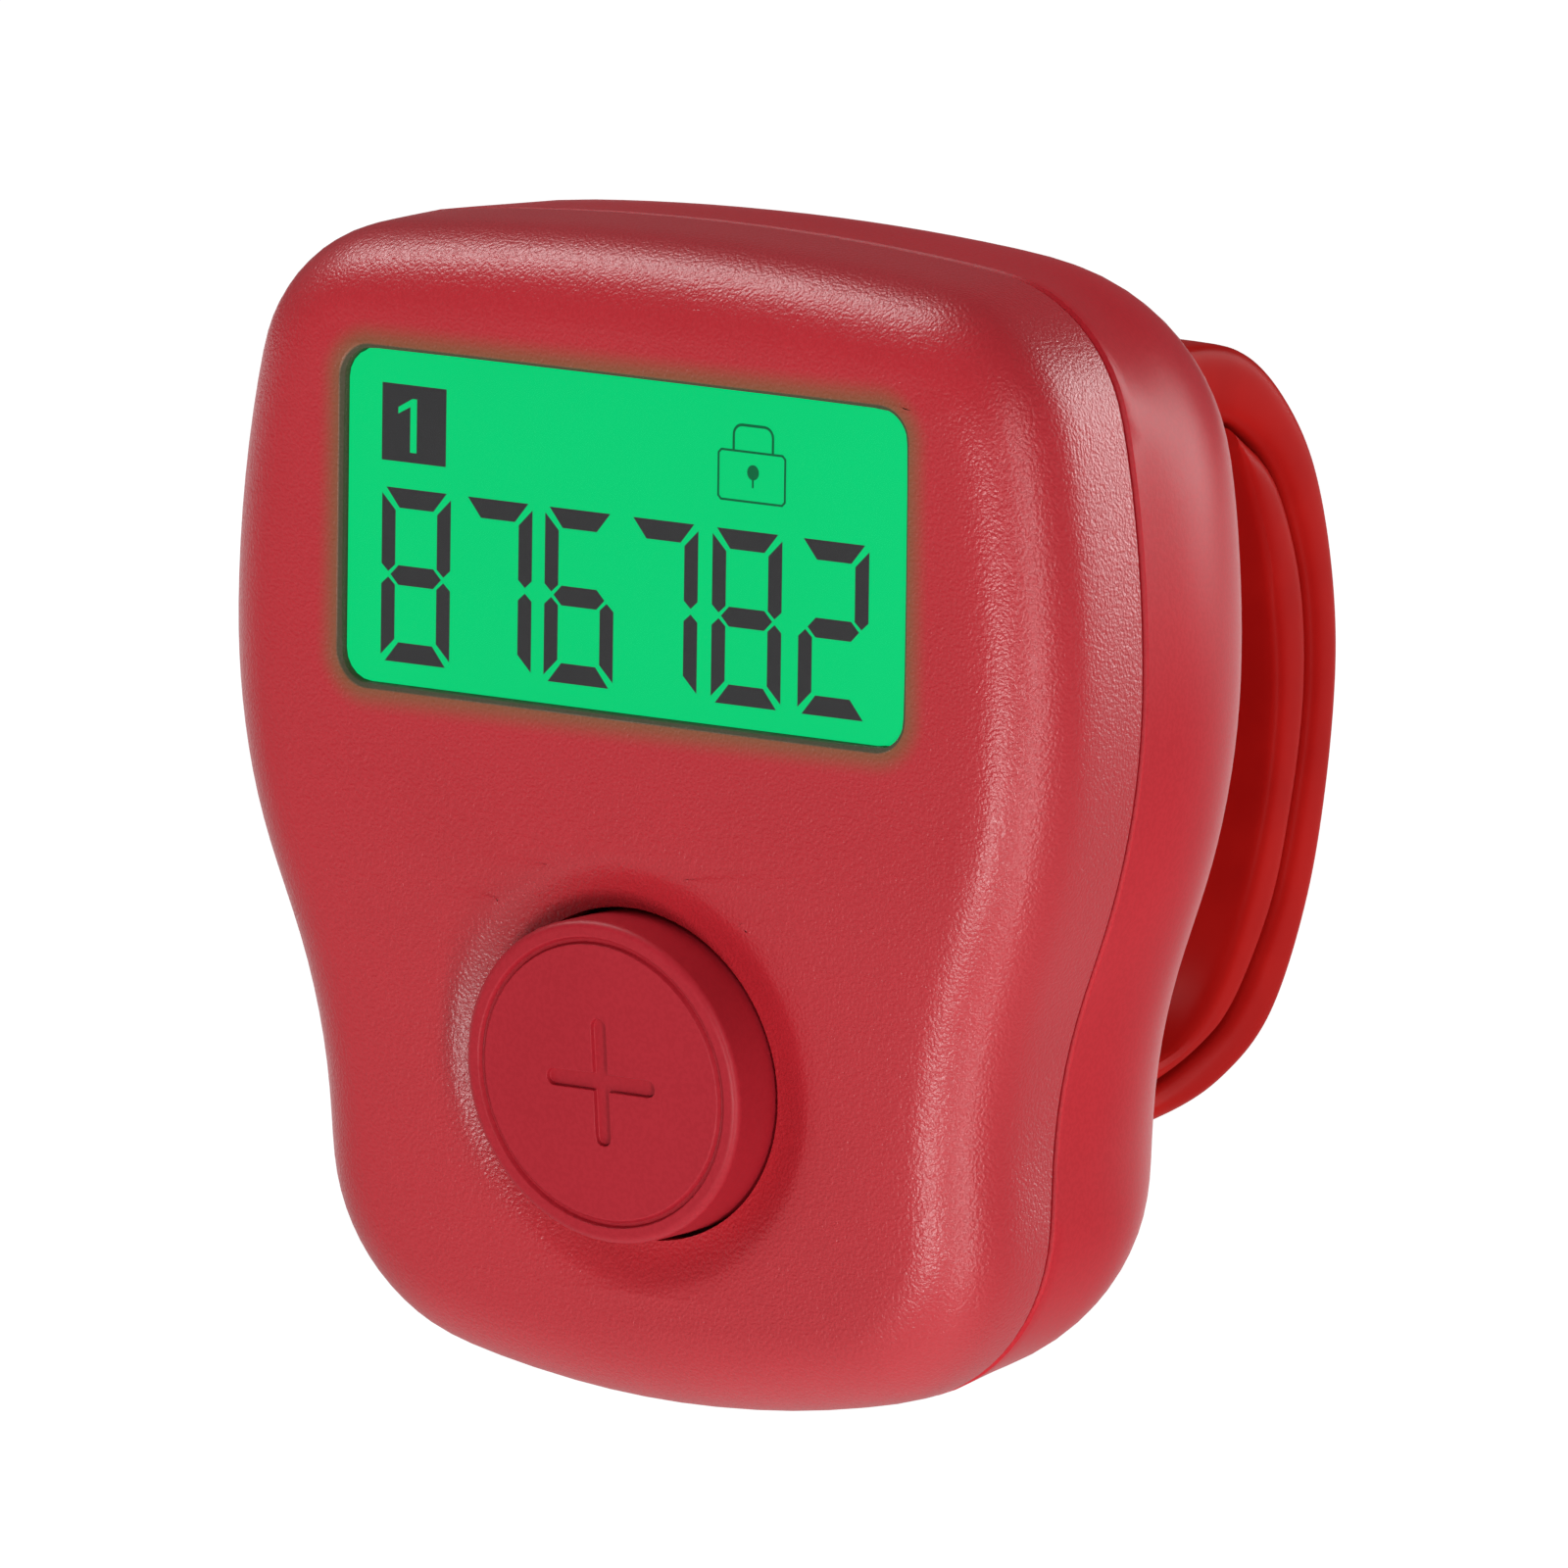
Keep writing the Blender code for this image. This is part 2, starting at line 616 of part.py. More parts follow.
def lug(name, pin, side):
    """Return one ear beside a strap end, as a bar along X that runs into the back wall."""
    outline = []
    for k in range(13):
        angle = math.pi * k / 12
        outline.append((pin[0] + LUG_R * math.sin(angle), pin[1] + LUG_R * math.cos(angle)))
    outline.append((-BACK_WALL / 2, pin[1] - LUG_BASE))
    outline.append((-BACK_WALL / 2, pin[1] + LUG_BASE))
    near = side * (STRAP_HALF_WIDTH + LUG_GAP)
    far = side * (STRAP_HALF_WIDTH + LUG_GAP + LUG_T)
    edge = side * 0.25
    rings = []
    for x, shrink in ((near, 1.0), (far - edge, 1.0), (far, 0.88)):
        rings.append([(x, pin[0] + (y - pin[0]) * (shrink if y > 0 else 1.0),
                       pin[1] + (z - pin[1]) * shrink) for y, z in outline])
    return make(name, *skin(rings, "flat"), "rear_plastic")


def door_outline(growth=0.0):
    """Return the door's outline and its centre height."""
    width = 2 * (DOOR_HALF_WIDTH + growth)
    height = DOOR_TOP - DOOR_BOTTOM + 2 * growth
    return rounded(width, height, DOOR_R + growth, 6), (DOOR_TOP + DOOR_BOTTOM) / 2


def rear_shell():
    """Build the rear shell with its tongue, well, bosses, lugs, door seat and side hole."""
    outer = arc_rings(rear_half, 0.0, REAR_ROUND_INSET, lambda d: -d, REAR_ROUND_DEPTH, 8)
    rim_y = SEAM_Y + SEAM_GAP / 2
    middle = (front_half + rear_half) / 2
    tongue_in = WALL + TONGUE_FIT
    tongue_far = tongue_in + TONGUE_THICK
    rim = [ring(middle, 0.0, (rim_y - REAR_ROUND_DEPTH) / 2),
           ring(front_half, 0.0, rim_y + SEAM_CHAMFER), ring(front_half, SEAM_CHAMFER, rim_y),
           ring(front_half, tongue_in, rim_y), ring(front_half, tongue_in, rim_y - TONGUE_HEIGHT),
           ring(front_half, tongue_far, rim_y - TONGUE_HEIGHT),
           ring(front_half, tongue_far, rim_y + 0.3), ring(middle, WALL, rim_y + 1.0)]
    inner = arc_rings(rear_half, WALL, REAR_INNER_INSET - WALL, lambda d: -BACK_WALL - d,
                      REAR_ROUND_DEPTH - BACK_WALL, 4)
    item = make("rear_shell", *skin(outer + rim + inner[::-1], "strip"), "rear_plastic")

    embed = -BACK_WALL / 2
    well_r = CELL_R + CELL_FIT
    additions = [disc("well", well_r + WELL_WALL, -WELL_DEPTH, embed, (0.0, CELL_Z),
                      "rear_plastic", WELL_STEPS)]
    for _, x, z, _ in CASE_SCREWS:
        additions.append(disc("boss", REAR_BOSS_R, rim_y + FIT, embed - 0.4, (x, z),
                              "rear_plastic", BOSS_STEPS))
    door_boss_r = DOOR_SCREW[2] + 0.75
    additions.append(disc("boss", door_boss_r, -(DOOR_T + DOOR_SCREW_LENGTH + 0.6), embed - 0.3,
                          (0.0, DOOR_SCREW_Z), "rear_plastic", PILOT_STEPS))
    for pin in (UPPER_PIN, LOWER_PIN):
        for side in (-1, 1):
            additions.append(lug("lug", pin, side))

    outline, door_z = door_outline(SIDE_FIT)
    floor = -(DOOR_T + SIDE_FIT)
    above = 1.0
    cuts = [
        plate("door_cut", outline, [(floor, 0.0), (above, 0.0)], "rear_plastic", (0.0, door_z)),
        disc("well_cut", well_r, -(WELL_DEPTH + above), above, (0.0, CELL_Z), "rear_plastic",
             WELL_STEPS),
        disc("door_pilot", DOOR_SCREW[2] + FIT, -(DOOR_T + DOOR_SCREW_LENGTH), above,
             (0.0, DOOR_SCREW_Z), "rear_plastic", PILOT_STEPS)]
    for side in (-1, 1):
        tab_low = side * DOOR_TAB_X - DOOR_TAB_W / 2 - SIDE_FIT
        cuts.append(block("tab_cut", (tab_low, -(BACK_WALL + above), DOOR_TOP - 2.2),
                          (tab_low + DOOR_TAB_W + 2 * SIDE_FIT, floor + 0.01,
                           DOOR_TOP + DOOR_TAB_REACH + SIDE_FIT), "rear_plastic"))
    slot_half = CONTACT_W / 2 + CONTACT_SLOT
    cuts.append(block("contact_cut", (well_r - 0.5, -(WELL_DEPTH + above), CELL_Z - slot_half),
                      (well_r + WELL_WALL + CONTACT_SLOT, -BACK_WALL, CELL_Z + slot_half),
                      "rear_plastic"))
    head_r, _, shank_r = CASE_SCREW
    for _, x, z, sink in CASE_SCREWS:
        seat = head_seat(sink)
        bore = [(0, above), (head_r + SIDE_FIT, above), (head_r + SIDE_FIT, seat),
                (shank_r + SIDE_FIT, seat), (shank_r + SIDE_FIT, SEAM_Y - above),
                (0, SEAM_Y - above)]
        cuts.append(lathe("screw_cut", bore, (x, z), "rear_plastic", BORE_STEPS))
    cuts.append(disc("boss_clear", FRONT_BOSS_R + BOSS_CLEAR, SEAM_Y - TONGUE_HEIGHT - above,
                     rim_y + FIT / 2, (0.0, LOW_SCREW_Z), "rear_plastic", BORE_STEPS))
    for pin in (UPPER_PIN, LOWER_PIN):
        reach = STRAP_HALF_WIDTH + LUG_GAP + LUG_T + above
        cuts.append(rod_x("pin_cut", PIN_R + PIN_FIT / 2, -reach, reach, pin, "rear_plastic"))
    mode = rounded(MODE_WIDTH + 2 * RUN_FIT, MODE_LENGTH + 2 * RUN_FIT,
                   MODE_WIDTH / 2 + RUN_FIT - 0.02, 6)
    outside = -(BODY_HALF_WIDTH + 2)
    cuts.append(side_plate("mode_cut", mode, [(outside, 0.0), (outside + 5.5, 0.0)],
                           "rear_plastic"))
    return smooth(shape(item, additions, cuts))


def side_plate(name, outline, levels, slot, origin=(0.0, 0.0, 0.0)):
    """Stack an outline along X about the mode button's axis; its x becomes the world's y."""
    rings = []
    for x, growth in levels:
        rings.append([(x, MODE_Y + u + math.copysign(growth, u) * (abs(u) > 1e-6),
                       MODE_Z + v + math.copysign(growth, v)) for u, v in outline])
    return make(name, *skin(rings, "flat"), slot, origin)


def display():
    """Build the lens, the panel, its frame, the light guide, the LEDs and the connector."""
    centre = (0.0, DISPLAY_Z)
    face = rounded(WINDOW_W - 2 * LENS_FIT, WINDOW_H - 2 * LENS_FIT, WINDOW_R - LENS_FIT)
    lens_y = FRONT_Y + LENS_RECESS
    smooth(plate("display_window", face,
                 [(lens_y, -0.05), (lens_y + 0.05, 0.0), (lens_y + LENS_T, 0.0)], "lens_clear",
                 centre))
    seat_y = POCKET_Y + FIT
    panel = plate("lcd_panel", face, [(PANEL_Y, 0.0), (seat_y + PANEL_LIP_T / 2, 0.0)],
                  "display_glass", centre)
    lip = plate("lip", rounded(PANEL_W, PANEL_H, 0.4, 2), [(seat_y, 0.0), (PANEL_BACK_Y, 0.0)],
                "display_glass", centre)
    smooth(shape(panel, [lip]))

    half_w = PANEL_W / 2
    half_h = PANEL_H / 2
    low_z = DISPLAY_Z - half_h
    high_z = DISPLAY_Z + half_h
    back = BOARD_Y - FIT
    guide_y = PANEL_BACK_Y + FIT
    led_gap = 0.15
    guide_half = half_w - LED_THICK - 2 * led_gap
    zebra_low = low_z + 0.1
    block("light_guide", (-guide_half, guide_y, zebra_low + ZEBRA_H + 0.3),
          (guide_half, back, high_z - 0.1), "guide_clear", 0.3)
    block("zebra_connector", (-guide_half, guide_y, zebra_low),
          (guide_half, back, zebra_low + ZEBRA_H), "connector_rubber", 0.1)
    led_z = DISPLAY_Z + ZEBRA_H / 2
    for name, side in (("backlight_led_left", -1), ("backlight_led_right", 1)):
        near = side * (guide_half + led_gap)
        far = side * (guide_half + led_gap + LED_THICK)
        block(name, (min(near, far), back - LED_DEPTH, led_z - LED_LENGTH / 2),
              (max(near, far), back, led_z + LED_LENGTH / 2), "led_white", 0.1)

    opening = rounded(PANEL_W + 2 * SIDE_FIT, PANEL_H + 2 * SIDE_FIT, 0.5, 2)
    grow = SIDE_FIT + FRAME_WALL
    frame = plate("display_frame", rounded(PANEL_W + 2 * grow, PANEL_H + 2 * grow, 1.4, 4),
                  [(FRONT_Y + WALL + FRAME_SETBACK, 0.0), (back, 0.0)], "frame_white", centre)
    cut = plate("frame_cut", opening, [(FRONT_Y, 0.0), (back + 1, 0.0)], "frame_white", centre)
    smooth(shape(frame, (), [cut]))


def board():
    """Build the board to the case outline, with holes for the bosses and board screws."""
    rings = [ring(front_half, BOARD_INSET, y) for y in (BOARD_Y, BOARD_BACK_Y)]
    item = make("circuit_board", *skin(rings, "strip"), "board_green")
    span = (BOARD_Y - 1, BOARD_BACK_Y + 1)
    cuts = [disc("cut", REAR_BOSS_R + BOSS_CLEAR, *span, (x, z), "board_green", BOSS_STEPS)
            for _, x, z, _ in CASE_SCREWS]
    cuts += [disc("cut", BOARD_SCREW[2] + FIT, *span, (x, BOARD_SCREW_Z), "board_green", PILOT_STEPS)
             for _, x in BOARD_SCREWS]
    smooth(shape(item, (), cuts))

    seat = BOARD_BACK_Y + FIT
    dome = [(0, seat), (BLOB_R, seat)]
    for angle in quarter(4)[1:]:
        dome.append((BLOB_R * math.cos(angle), seat + BLOB_H * math.sin(angle)))
    dome[-1] = (0, seat + BLOB_H)
    smooth(lathe("controller_chip", dome, (0.0, CHIP_Z), "black_resin", 24), 60)
    smooth(rod_x("timing_crystal", CRYSTAL_R, CRYSTAL_X, CRYSTAL_X + CRYSTAL_L,
                 (seat + CRYSTAL_R, CRYSTAL_Z), "bright_steel", 0.15, 20))
    for name, slot, x, z, length, width, height, edge in SMALL_PARTS:
        block(name, (x - length / 2, seat, z - width / 2),
              (x + length / 2, seat + height, z + width / 2), slot, edge)


def switches():
    """Build both switches and their plungers."""
    seat = BOARD_Y - FIT
    half = SWITCH_SIZE / 2
    bore_r = PLUNGER_R + FIT
    inner_y = SWITCH_Y + PLUNGER_HELD
    body = block("count_switch", (-half, SWITCH_Y, BUTTON_Z - half), (half, seat, BUTTON_Z + half),
                 "black_resin", 0.4)
    bore = disc("bore", bore_r, SWITCH_Y - 1, inner_y + BUTTON_TRAVEL + FIT, (0.0, BUTTON_Z),
                "black_resin", 24)
    smooth(shape(body, (), [bore]))
    edge = 0.15
    smooth(lathe("count_switch_plunger",
                 [(0, PLUNGER_Y), (PLUNGER_R - edge, PLUNGER_Y), (PLUNGER_R, PLUNGER_Y + edge),
                  (PLUNGER_R, inner_y), (0, inner_y)], (0.0, BUTTON_Z), "white_plastic", 24,
                 (0.0, PLUNGER_Y, BUTTON_Z)))

    face_x = -(BODY_HALF_WIDTH - MODE_SWITCH_REACH)
    low_y = BOARD_BACK_Y + FIT
    body = block("mode_switch", (face_x, low_y, MODE_Z - MODE_SWITCH_L / 2),
                 (face_x + MODE_SWITCH_D, low_y + MODE_SWITCH_H, MODE_Z + MODE_SWITCH_L / 2),
                 "black_resin", 0.2)
    held = 0.4
    plunger = rounded(MODE_PLUNGER_W, MODE_PLUNGER_L, 0.2, 2)
    pocket = rounded(MODE_PLUNGER_W + 2 * FIT, MODE_PLUNGER_L + 2 * FIT, 0.3, 2)
    cut = side_plate("bore", pocket, [(face_x - 1, 0.0),
                                      (face_x + held + MODE_TRAVEL + FIT, 0.0)], "black_resin")
    smooth(shape(body, (), [cut]))
    tip_x = face_x - MODE_PLUNGER_PROUD
    side_plate("mode_switch_plunger", plunger, [(tip_x, 0.0), (face_x + held, 0.0)],
               "white_plastic", (tip_x, MODE_Y, MODE_Z))


def plus_outline():
    """Return the outline of a plus with round ends, read round from its top."""
    half = PLUS_WIDTH / 2
    arm = [(half, half), (half, PLUS_REACH - half)]
    for k in range(1, 6):
        angle = math.pi * k / 6
        arm.append((half * math.cos(angle), PLUS_REACH - half + half * math.sin(angle)))
    arm.append((-half, PLUS_REACH - half))
    points = []
    for k in range(4):
        turn = math.pi / 2 * k
        points += [(x * math.cos(turn) - z * math.sin(turn), x * math.sin(turn) + z * math.cos(turn))
                   for x, z in arm]
    return points


def buttons():
    """Build the round count button and the small mode button."""
    face = FRONT_Y - BUTTON_PROUD
    half = GROOVE_W / 2
    groove_floor = face + GROOVE_DEPTH
    head = [(0, face), (RING_GROOVE_R - half, face), (RING_GROOVE_R - half * 0.5, groove_floor),
            (RING_GROOVE_R + half * 0.5, groove_floor), (RING_GROOVE_R + half, face)]
    for angle in quarter(4):
        head.append((BUTTON_R - BUTTON_EDGE * (1 - math.sin(angle)),
                     face + BUTTON_EDGE * (1 - math.cos(angle))))
    lip_y = COLLAR_Y + SIDE_FIT
    lip_back = lip_y + BUTTON_FLANGE_T
    lip_r = HOLE_R + BUTTON_FLANGE_OVER
    inner_r = BUTTON_R - BUTTON_SKIRT_T
    inside = face + BUTTON_FACE_T
    post_y = PLUNGER_Y - FIT
    tail = [(BUTTON_R, lip_y), (lip_r, lip_y), (lip_r, lip_back), (inner_r, lip_back),
            (inner_r, inside), (BUTTON_POST_R, inside), (BUTTON_POST_R, post_y), (0, post_y)]

    def lean_front(point):
        """Lean the face and leave the flange and the post square."""
        return tipped(point) if point[1] < inside - 0.01 else point

    button = lathe("count_button", head + tail, (0.0, BUTTON_Z), "button_plastic", ROUND_STEPS,
                   (0.0, face, BUTTON_Z), lean_front)
    plus = make("plus", *skin([[tipped((x, y, BUTTON_Z + z)) for x, z in plus_outline()]
                               for y in (face - 1.0, groove_floor)], "flat"), "button_plastic")
    smooth(shape(button, (), [plus]))

    cap_x = -(BODY_HALF_WIDTH + MODE_PROUD)
    flange_x = -(BODY_HALF_WIDTH - WALL - 0.3)
    end_x = -(BODY_HALF_WIDTH - MODE_SWITCH_REACH) - MODE_PLUNGER_PROUD - FIT
    pill = rounded(MODE_WIDTH, MODE_LENGTH, MODE_WIDTH / 2 - 0.02, 6)
    origin = (cap_x, MODE_Y, MODE_Z)
    cap = side_plate("mode_button", pill, [(cap_x, -0.2), (cap_x + 0.06, -0.08),
                                           (cap_x + 0.2, 0.0), (flange_x + 0.1, 0.0)],
                     "button_plastic", origin)
    over = MODE_FLANGE_OVER
    flange = side_plate("flange", rounded(MODE_WIDTH + 2 * over, MODE_LENGTH + 2 * over, 0.5, 3),
                        [(flange_x, 0.0), (flange_x + MODE_FLANGE_T, 0.0)], "button_plastic")
    post = side_plate("post", rounded(1.2, 2.2, 0.2, 2),
                      [(flange_x + MODE_FLANGE_T / 2, 0.0), (end_x, 0.0)], "button_plastic")
    smooth(shape(cap, [flange, post]))


def strip_path(name, path, width, slot):
    """Bend a flat spring strip along a (z, y) path, its width along X."""
    normals = []
    for k, point in enumerate(path):
        before = path[max(k - 1, 0)]
        after = path[min(k + 1, len(path) - 1)]
        run = Vector((after[0] - before[0], after[1] - before[1])).normalized()
        normals.append((-run.y, run.x))
    rings = []
    for (z, y), (nz, ny) in zip(path, normals):
        t = CONTACT_T / 2
        rings.append([(sx * width / 2, y + s * t * ny, z + s * t * nz)
                      for sx, s in ((-1, -1), (1, -1), (1, 1), (-1, 1))])
    return smooth(make(name, *skin(rings, "flat"), slot))


def power():
    """Build the coin cell, its two contacts and the screwed door."""
    back = -(DOOR_T + CELL_SEAT)
    front = back - CELL_T
    can_step = front + CELL_STEP / 2
    edge = 0.25
    cap_r = CELL_R - CELL_STEP
    smooth(lathe("coin_cell",
                 [(0, front), (cap_r - edge, front), (cap_r, front + edge),
                  (cap_r + FIT, can_step), (CELL_R - edge, can_step), (CELL_R, can_step + edge),
                  (CELL_R, back - edge), (CELL_R - edge, back), (0, back)],
                 (0.0, CELL_Z), "bright_steel", WELL_STEPS))

    seat = BOARD_BACK_Y + FIT
    touch = front - FIT
    half = CONTACT_T / 2
    foot = [CELL_Z + z for z in CONTACT_FOOT]
    pad = [CELL_Z + z for z in CONTACT_TOUCH]
    low = seat + half
    high = touch - half
    strip_path("cell_contact_negative",
               [(foot[0], low), (foot[1], low), (foot[1] + CONTACT_BEND, low + CONTACT_RISE),
                (pad[0] - CONTACT_BEND, high - CONTACT_RISE), (pad[0], high), (pad[1], high),
                (pad[1] + CONTACT_TIP, high - CONTACT_TIP_LIFT)], CONTACT_W, "spring_brass")
    x0 = CELL_R + FIT
    z0 = CELL_Z - CONTACT_W / 2
    z1 = CELL_Z + CONTACT_W / 2
    side_foot = block("cell_contact_positive", (x0, seat, z0),
                      (x0 + SIDE_FOOT_L, seat + CONTACT_T, z1), "spring_brass")
    upright = block("upright", (x0, seat + CONTACT_T / 2, z0),
                    (x0 + CONTACT_T, -(BACK_WALL + CELL_SEAT), z1), "spring_brass")
    shape(side_foot, [upright])

    outline, door_z = door_outline()
    door = plate("battery_door", outline, [(-DOOR_T, 0.0), (-0.12, 0.0), (0.0, -0.12)],
                 "rear_plastic", (0.0, door_z))
    tabs = []
    for side in (-1, 1):
        x = side * DOOR_TAB_X
        low = -(DOOR_T + SIDE_FIT + FIT)
        tabs.append(block("tab", (x - DOOR_TAB_W / 2, low - DOOR_TAB_T, DOOR_TOP - 1.0),
                          (x + DOOR_TAB_W / 2, low, DOOR_TOP + DOOR_TAB_REACH), "rear_plastic"))
        tabs.append(block("tab", (x - DOOR_TAB_W / 2, low - DOOR_TAB_T / 2, DOOR_TOP - 1.0),
                          (x + DOOR_TAB_W / 2, -DOOR_T / 2, DOOR_TOP - 0.2), "rear_plastic"))
    head_r, head_t, shank_r = DOOR_SCREW
    sink = [(0, 1.0), (head_r + SIDE_FIT, 1.0), (head_r + SIDE_FIT, -head_t - 0.05),
            (shank_r + FIT, -head_t - 0.05), (shank_r + FIT, -DOOR_T - 1), (0, -DOOR_T - 1)]
    cut = lathe("sink", sink, (0.0, DOOR_SCREW_Z), "rear_plastic", 28)
    smooth(shape(door, tabs, [cut]))


def screw(name, sizes, centre, head_y, length, facing=1):
    """Build a cross-recessed screw; head_y is the outer face of its head."""
    head_r, head_t, shank_r = sizes
    seat = head_y - facing * head_t
    tip = seat - facing * length
    edge = 0.15
    profile = [(0, head_y), (head_r - 2 * edge, head_y), (head_r, head_y - facing * 2 * edge),
               (head_r, seat), (shank_r, seat), (shank_r, tip + facing * shank_r),
               (shank_r * 0.3, tip), (0, tip)]
    item = lathe(name, profile, centre, "bright_steel", PILOT_STEPS)
    arm = head_r * 0.62
    thin = head_r * 0.15
    cross = [(thin, arm), (thin, thin), (arm, thin), (arm, -thin), (thin, -thin), (thin, -arm),
             (-thin, -arm), (-thin, -thin), (-arm, -thin), (-arm, thin), (-thin, thin),
             (-thin, arm)]
    depth = min(DRIVE_DEPTH, head_t * 0.7)
    span = sorted((head_y - facing * depth, head_y + facing * 0.5))
    cut = plate("drive", cross, [(span[0], 0.0), (span[1], 0.0)], "bright_steel", centre)
    return smooth(shape(item, (), [cut]))


def screws():
    """Build every screw in its seat."""
    for name, x, z, sink in CASE_SCREWS:
        head_y = head_seat(sink) + 0.05 + CASE_SCREW[1]
        screw(name, CASE_SCREW, (x, z), head_y, CASE_SCREW_LENGTH)
    for name, x in BOARD_SCREWS:
        head_y = BOARD_BACK_Y + FIT + BOARD_SCREW[1]
        screw(name, BOARD_SCREW, (x, BOARD_SCREW_Z), head_y, BOARD_SCREW_LENGTH)
    screw("battery_door_screw", DOOR_SCREW, (0.0, DOOR_SCREW_Z), -0.05 + 0.02,
          DOOR_SCREW_LENGTH - 0.3)


def flow(points, count):
    """Return count points evenly spaced along a smooth curve through the given points."""
    pts = np.array(points, dtype=float)
    ends = np.vstack([2 * pts[0] - pts[1], pts, 2 * pts[-1] - pts[-2]])
    fine = []
    for k in range(1, len(ends) - 2):
        p0, p1, p2, p3 = ends[k - 1:k + 3]
        for t in np.linspace(0, 1, 12, endpoint=False):
            fine.append(0.5 * (2 * p1 + (p2 - p0) * t + (2 * p0 - 5 * p1 + 4 * p2 - p3) * t ** 2
                               + (3 * p1 - p0 - 3 * p2 + p3) * t ** 3))
    fine.append(pts[-1])
    fine = np.array(fine)
    travel = np.concatenate([[0], np.cumsum(np.hypot(*np.diff(fine, axis=0).T))])
    want = np.linspace(0, travel[-1], count)
    return np.stack([np.interp(want, travel, fine[:, 0]), np.interp(want, travel, fine[:, 1])], 1)


def moved(points, distance):
    """Move a curve sideways, away from the finger for a positive distance."""
    pts = np.array(points, dtype=float)
    run = np.gradient(pts, axis=0)
    run /= np.hypot(run[:, 0], run[:, 1])[:, None]
    return pts + distance * np.stack([-run[:, 1], run[:, 0]], 1)


def band(name, far, near, pin, origin):
    """Sweep a rounded band between its two faces and join the knuckle round its pin."""
    rings = []
    for (ya, za), (yb, zb) in zip(far, near):
        thick = math.hypot(ya - yb, za - zb)
        radius = min(STRAP_EDGE_R, thick * 0.45)
        section = rounded(2 * STRAP_HALF_WIDTH, thick, radius, 3)
        up = ((ya - yb) / thick, (za - zb) / thick)
        mid = ((ya + yb) / 2, (za + zb) / 2)
        rings.append([(x, mid[0] + h * up[0], mid[1] + h * up[1]) for x, h in section])
    item = make(name, *skin(rings, "flat"), "strap_rubber", origin)
    knuckle = rod_x("knuckle", KNUCKLE_R, -STRAP_HALF_WIDTH, STRAP_HALF_WIDTH, pin,
                    "strap_rubber", 0.3, 28)
    bore = rod_x("bore", PIN_R + PIN_FIT / 2, -STRAP_HALF_WIDTH - 1, STRAP_HALF_WIDTH + 1, pin,
                 "strap_rubber")
    return smooth(shape(item, [knuckle], [bore]))


def strap():
    """Build the two overlapping strap halves and their pins."""
    outward = -1
    far = flow(OUTER_FACE, STRAP_STATIONS)
    near = flow(OUTER_ROOT + tuple(
        map(tuple, moved(PARTING_FACE + OUTER_TIP, -outward * LAYER_GAP / 2))), STRAP_STATIONS)
    band("strap_outer", far, near, UPPER_PIN, (0.0, *UPPER_PIN))
    far = flow(tuple(map(tuple, moved(PARTING_FACE + INNER_FOOT, outward * LAYER_GAP / 2))),
               STRAP_STATIONS)
    near = flow(INNER_FACE, STRAP_STATIONS)
    band("strap_inner", far, near, LOWER_PIN, (0.0, *LOWER_PIN))
    half = STRAP_HALF_WIDTH + LUG_GAP + LUG_T - 0.1
    for name, pin in (("strap_pin_upper", UPPER_PIN), ("strap_pin_lower", LOWER_PIN)):
        smooth(rod_x(name, PIN_R, -half, half, pin, "bright_steel", 0.15, 24))


def main():
    """Clear the scene and build every piece."""
    for item in list(bpy.data.objects):
        bpy.data.objects.remove(item, do_unlink=True)
    front_shell()
    rear_shell()
    display()
    board()
    switches()
    buttons()
    power()
    screws()
    strap()


main()
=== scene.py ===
"""Looks of a finger-worn digital tally counter: grained red case, lit display, rubber loop."""

import json
import logging
import math
from abc import ABC, abstractmethod
from dataclasses import dataclass
from enum import Enum
from typing import Sequence

import bpy
from mathutils import Matrix, Vector


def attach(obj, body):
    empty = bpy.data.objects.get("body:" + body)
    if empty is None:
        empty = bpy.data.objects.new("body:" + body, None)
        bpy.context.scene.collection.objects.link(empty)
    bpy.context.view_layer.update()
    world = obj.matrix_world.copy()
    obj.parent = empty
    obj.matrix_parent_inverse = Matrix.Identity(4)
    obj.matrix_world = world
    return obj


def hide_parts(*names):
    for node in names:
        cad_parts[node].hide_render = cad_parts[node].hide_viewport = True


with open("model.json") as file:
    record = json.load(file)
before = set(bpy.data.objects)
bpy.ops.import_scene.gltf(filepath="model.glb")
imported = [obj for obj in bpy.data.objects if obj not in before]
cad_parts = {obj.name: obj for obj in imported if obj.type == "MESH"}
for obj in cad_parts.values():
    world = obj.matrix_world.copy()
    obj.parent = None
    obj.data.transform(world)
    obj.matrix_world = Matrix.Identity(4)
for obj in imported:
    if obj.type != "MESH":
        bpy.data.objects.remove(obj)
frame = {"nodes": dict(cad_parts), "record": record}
LOG = logging.getLogger("tally_counter")
MM = 0.001
Point = tuple[float, float]
Place = tuple[float, float, float]
Colour = tuple[float, float, float]
SLOTS: dict[str, str] = {part["node"]: part["material_slot"]
                         for part in frame["record"]["subparts"]}
FINISHES: dict[str, bpy.types.Material] = {}


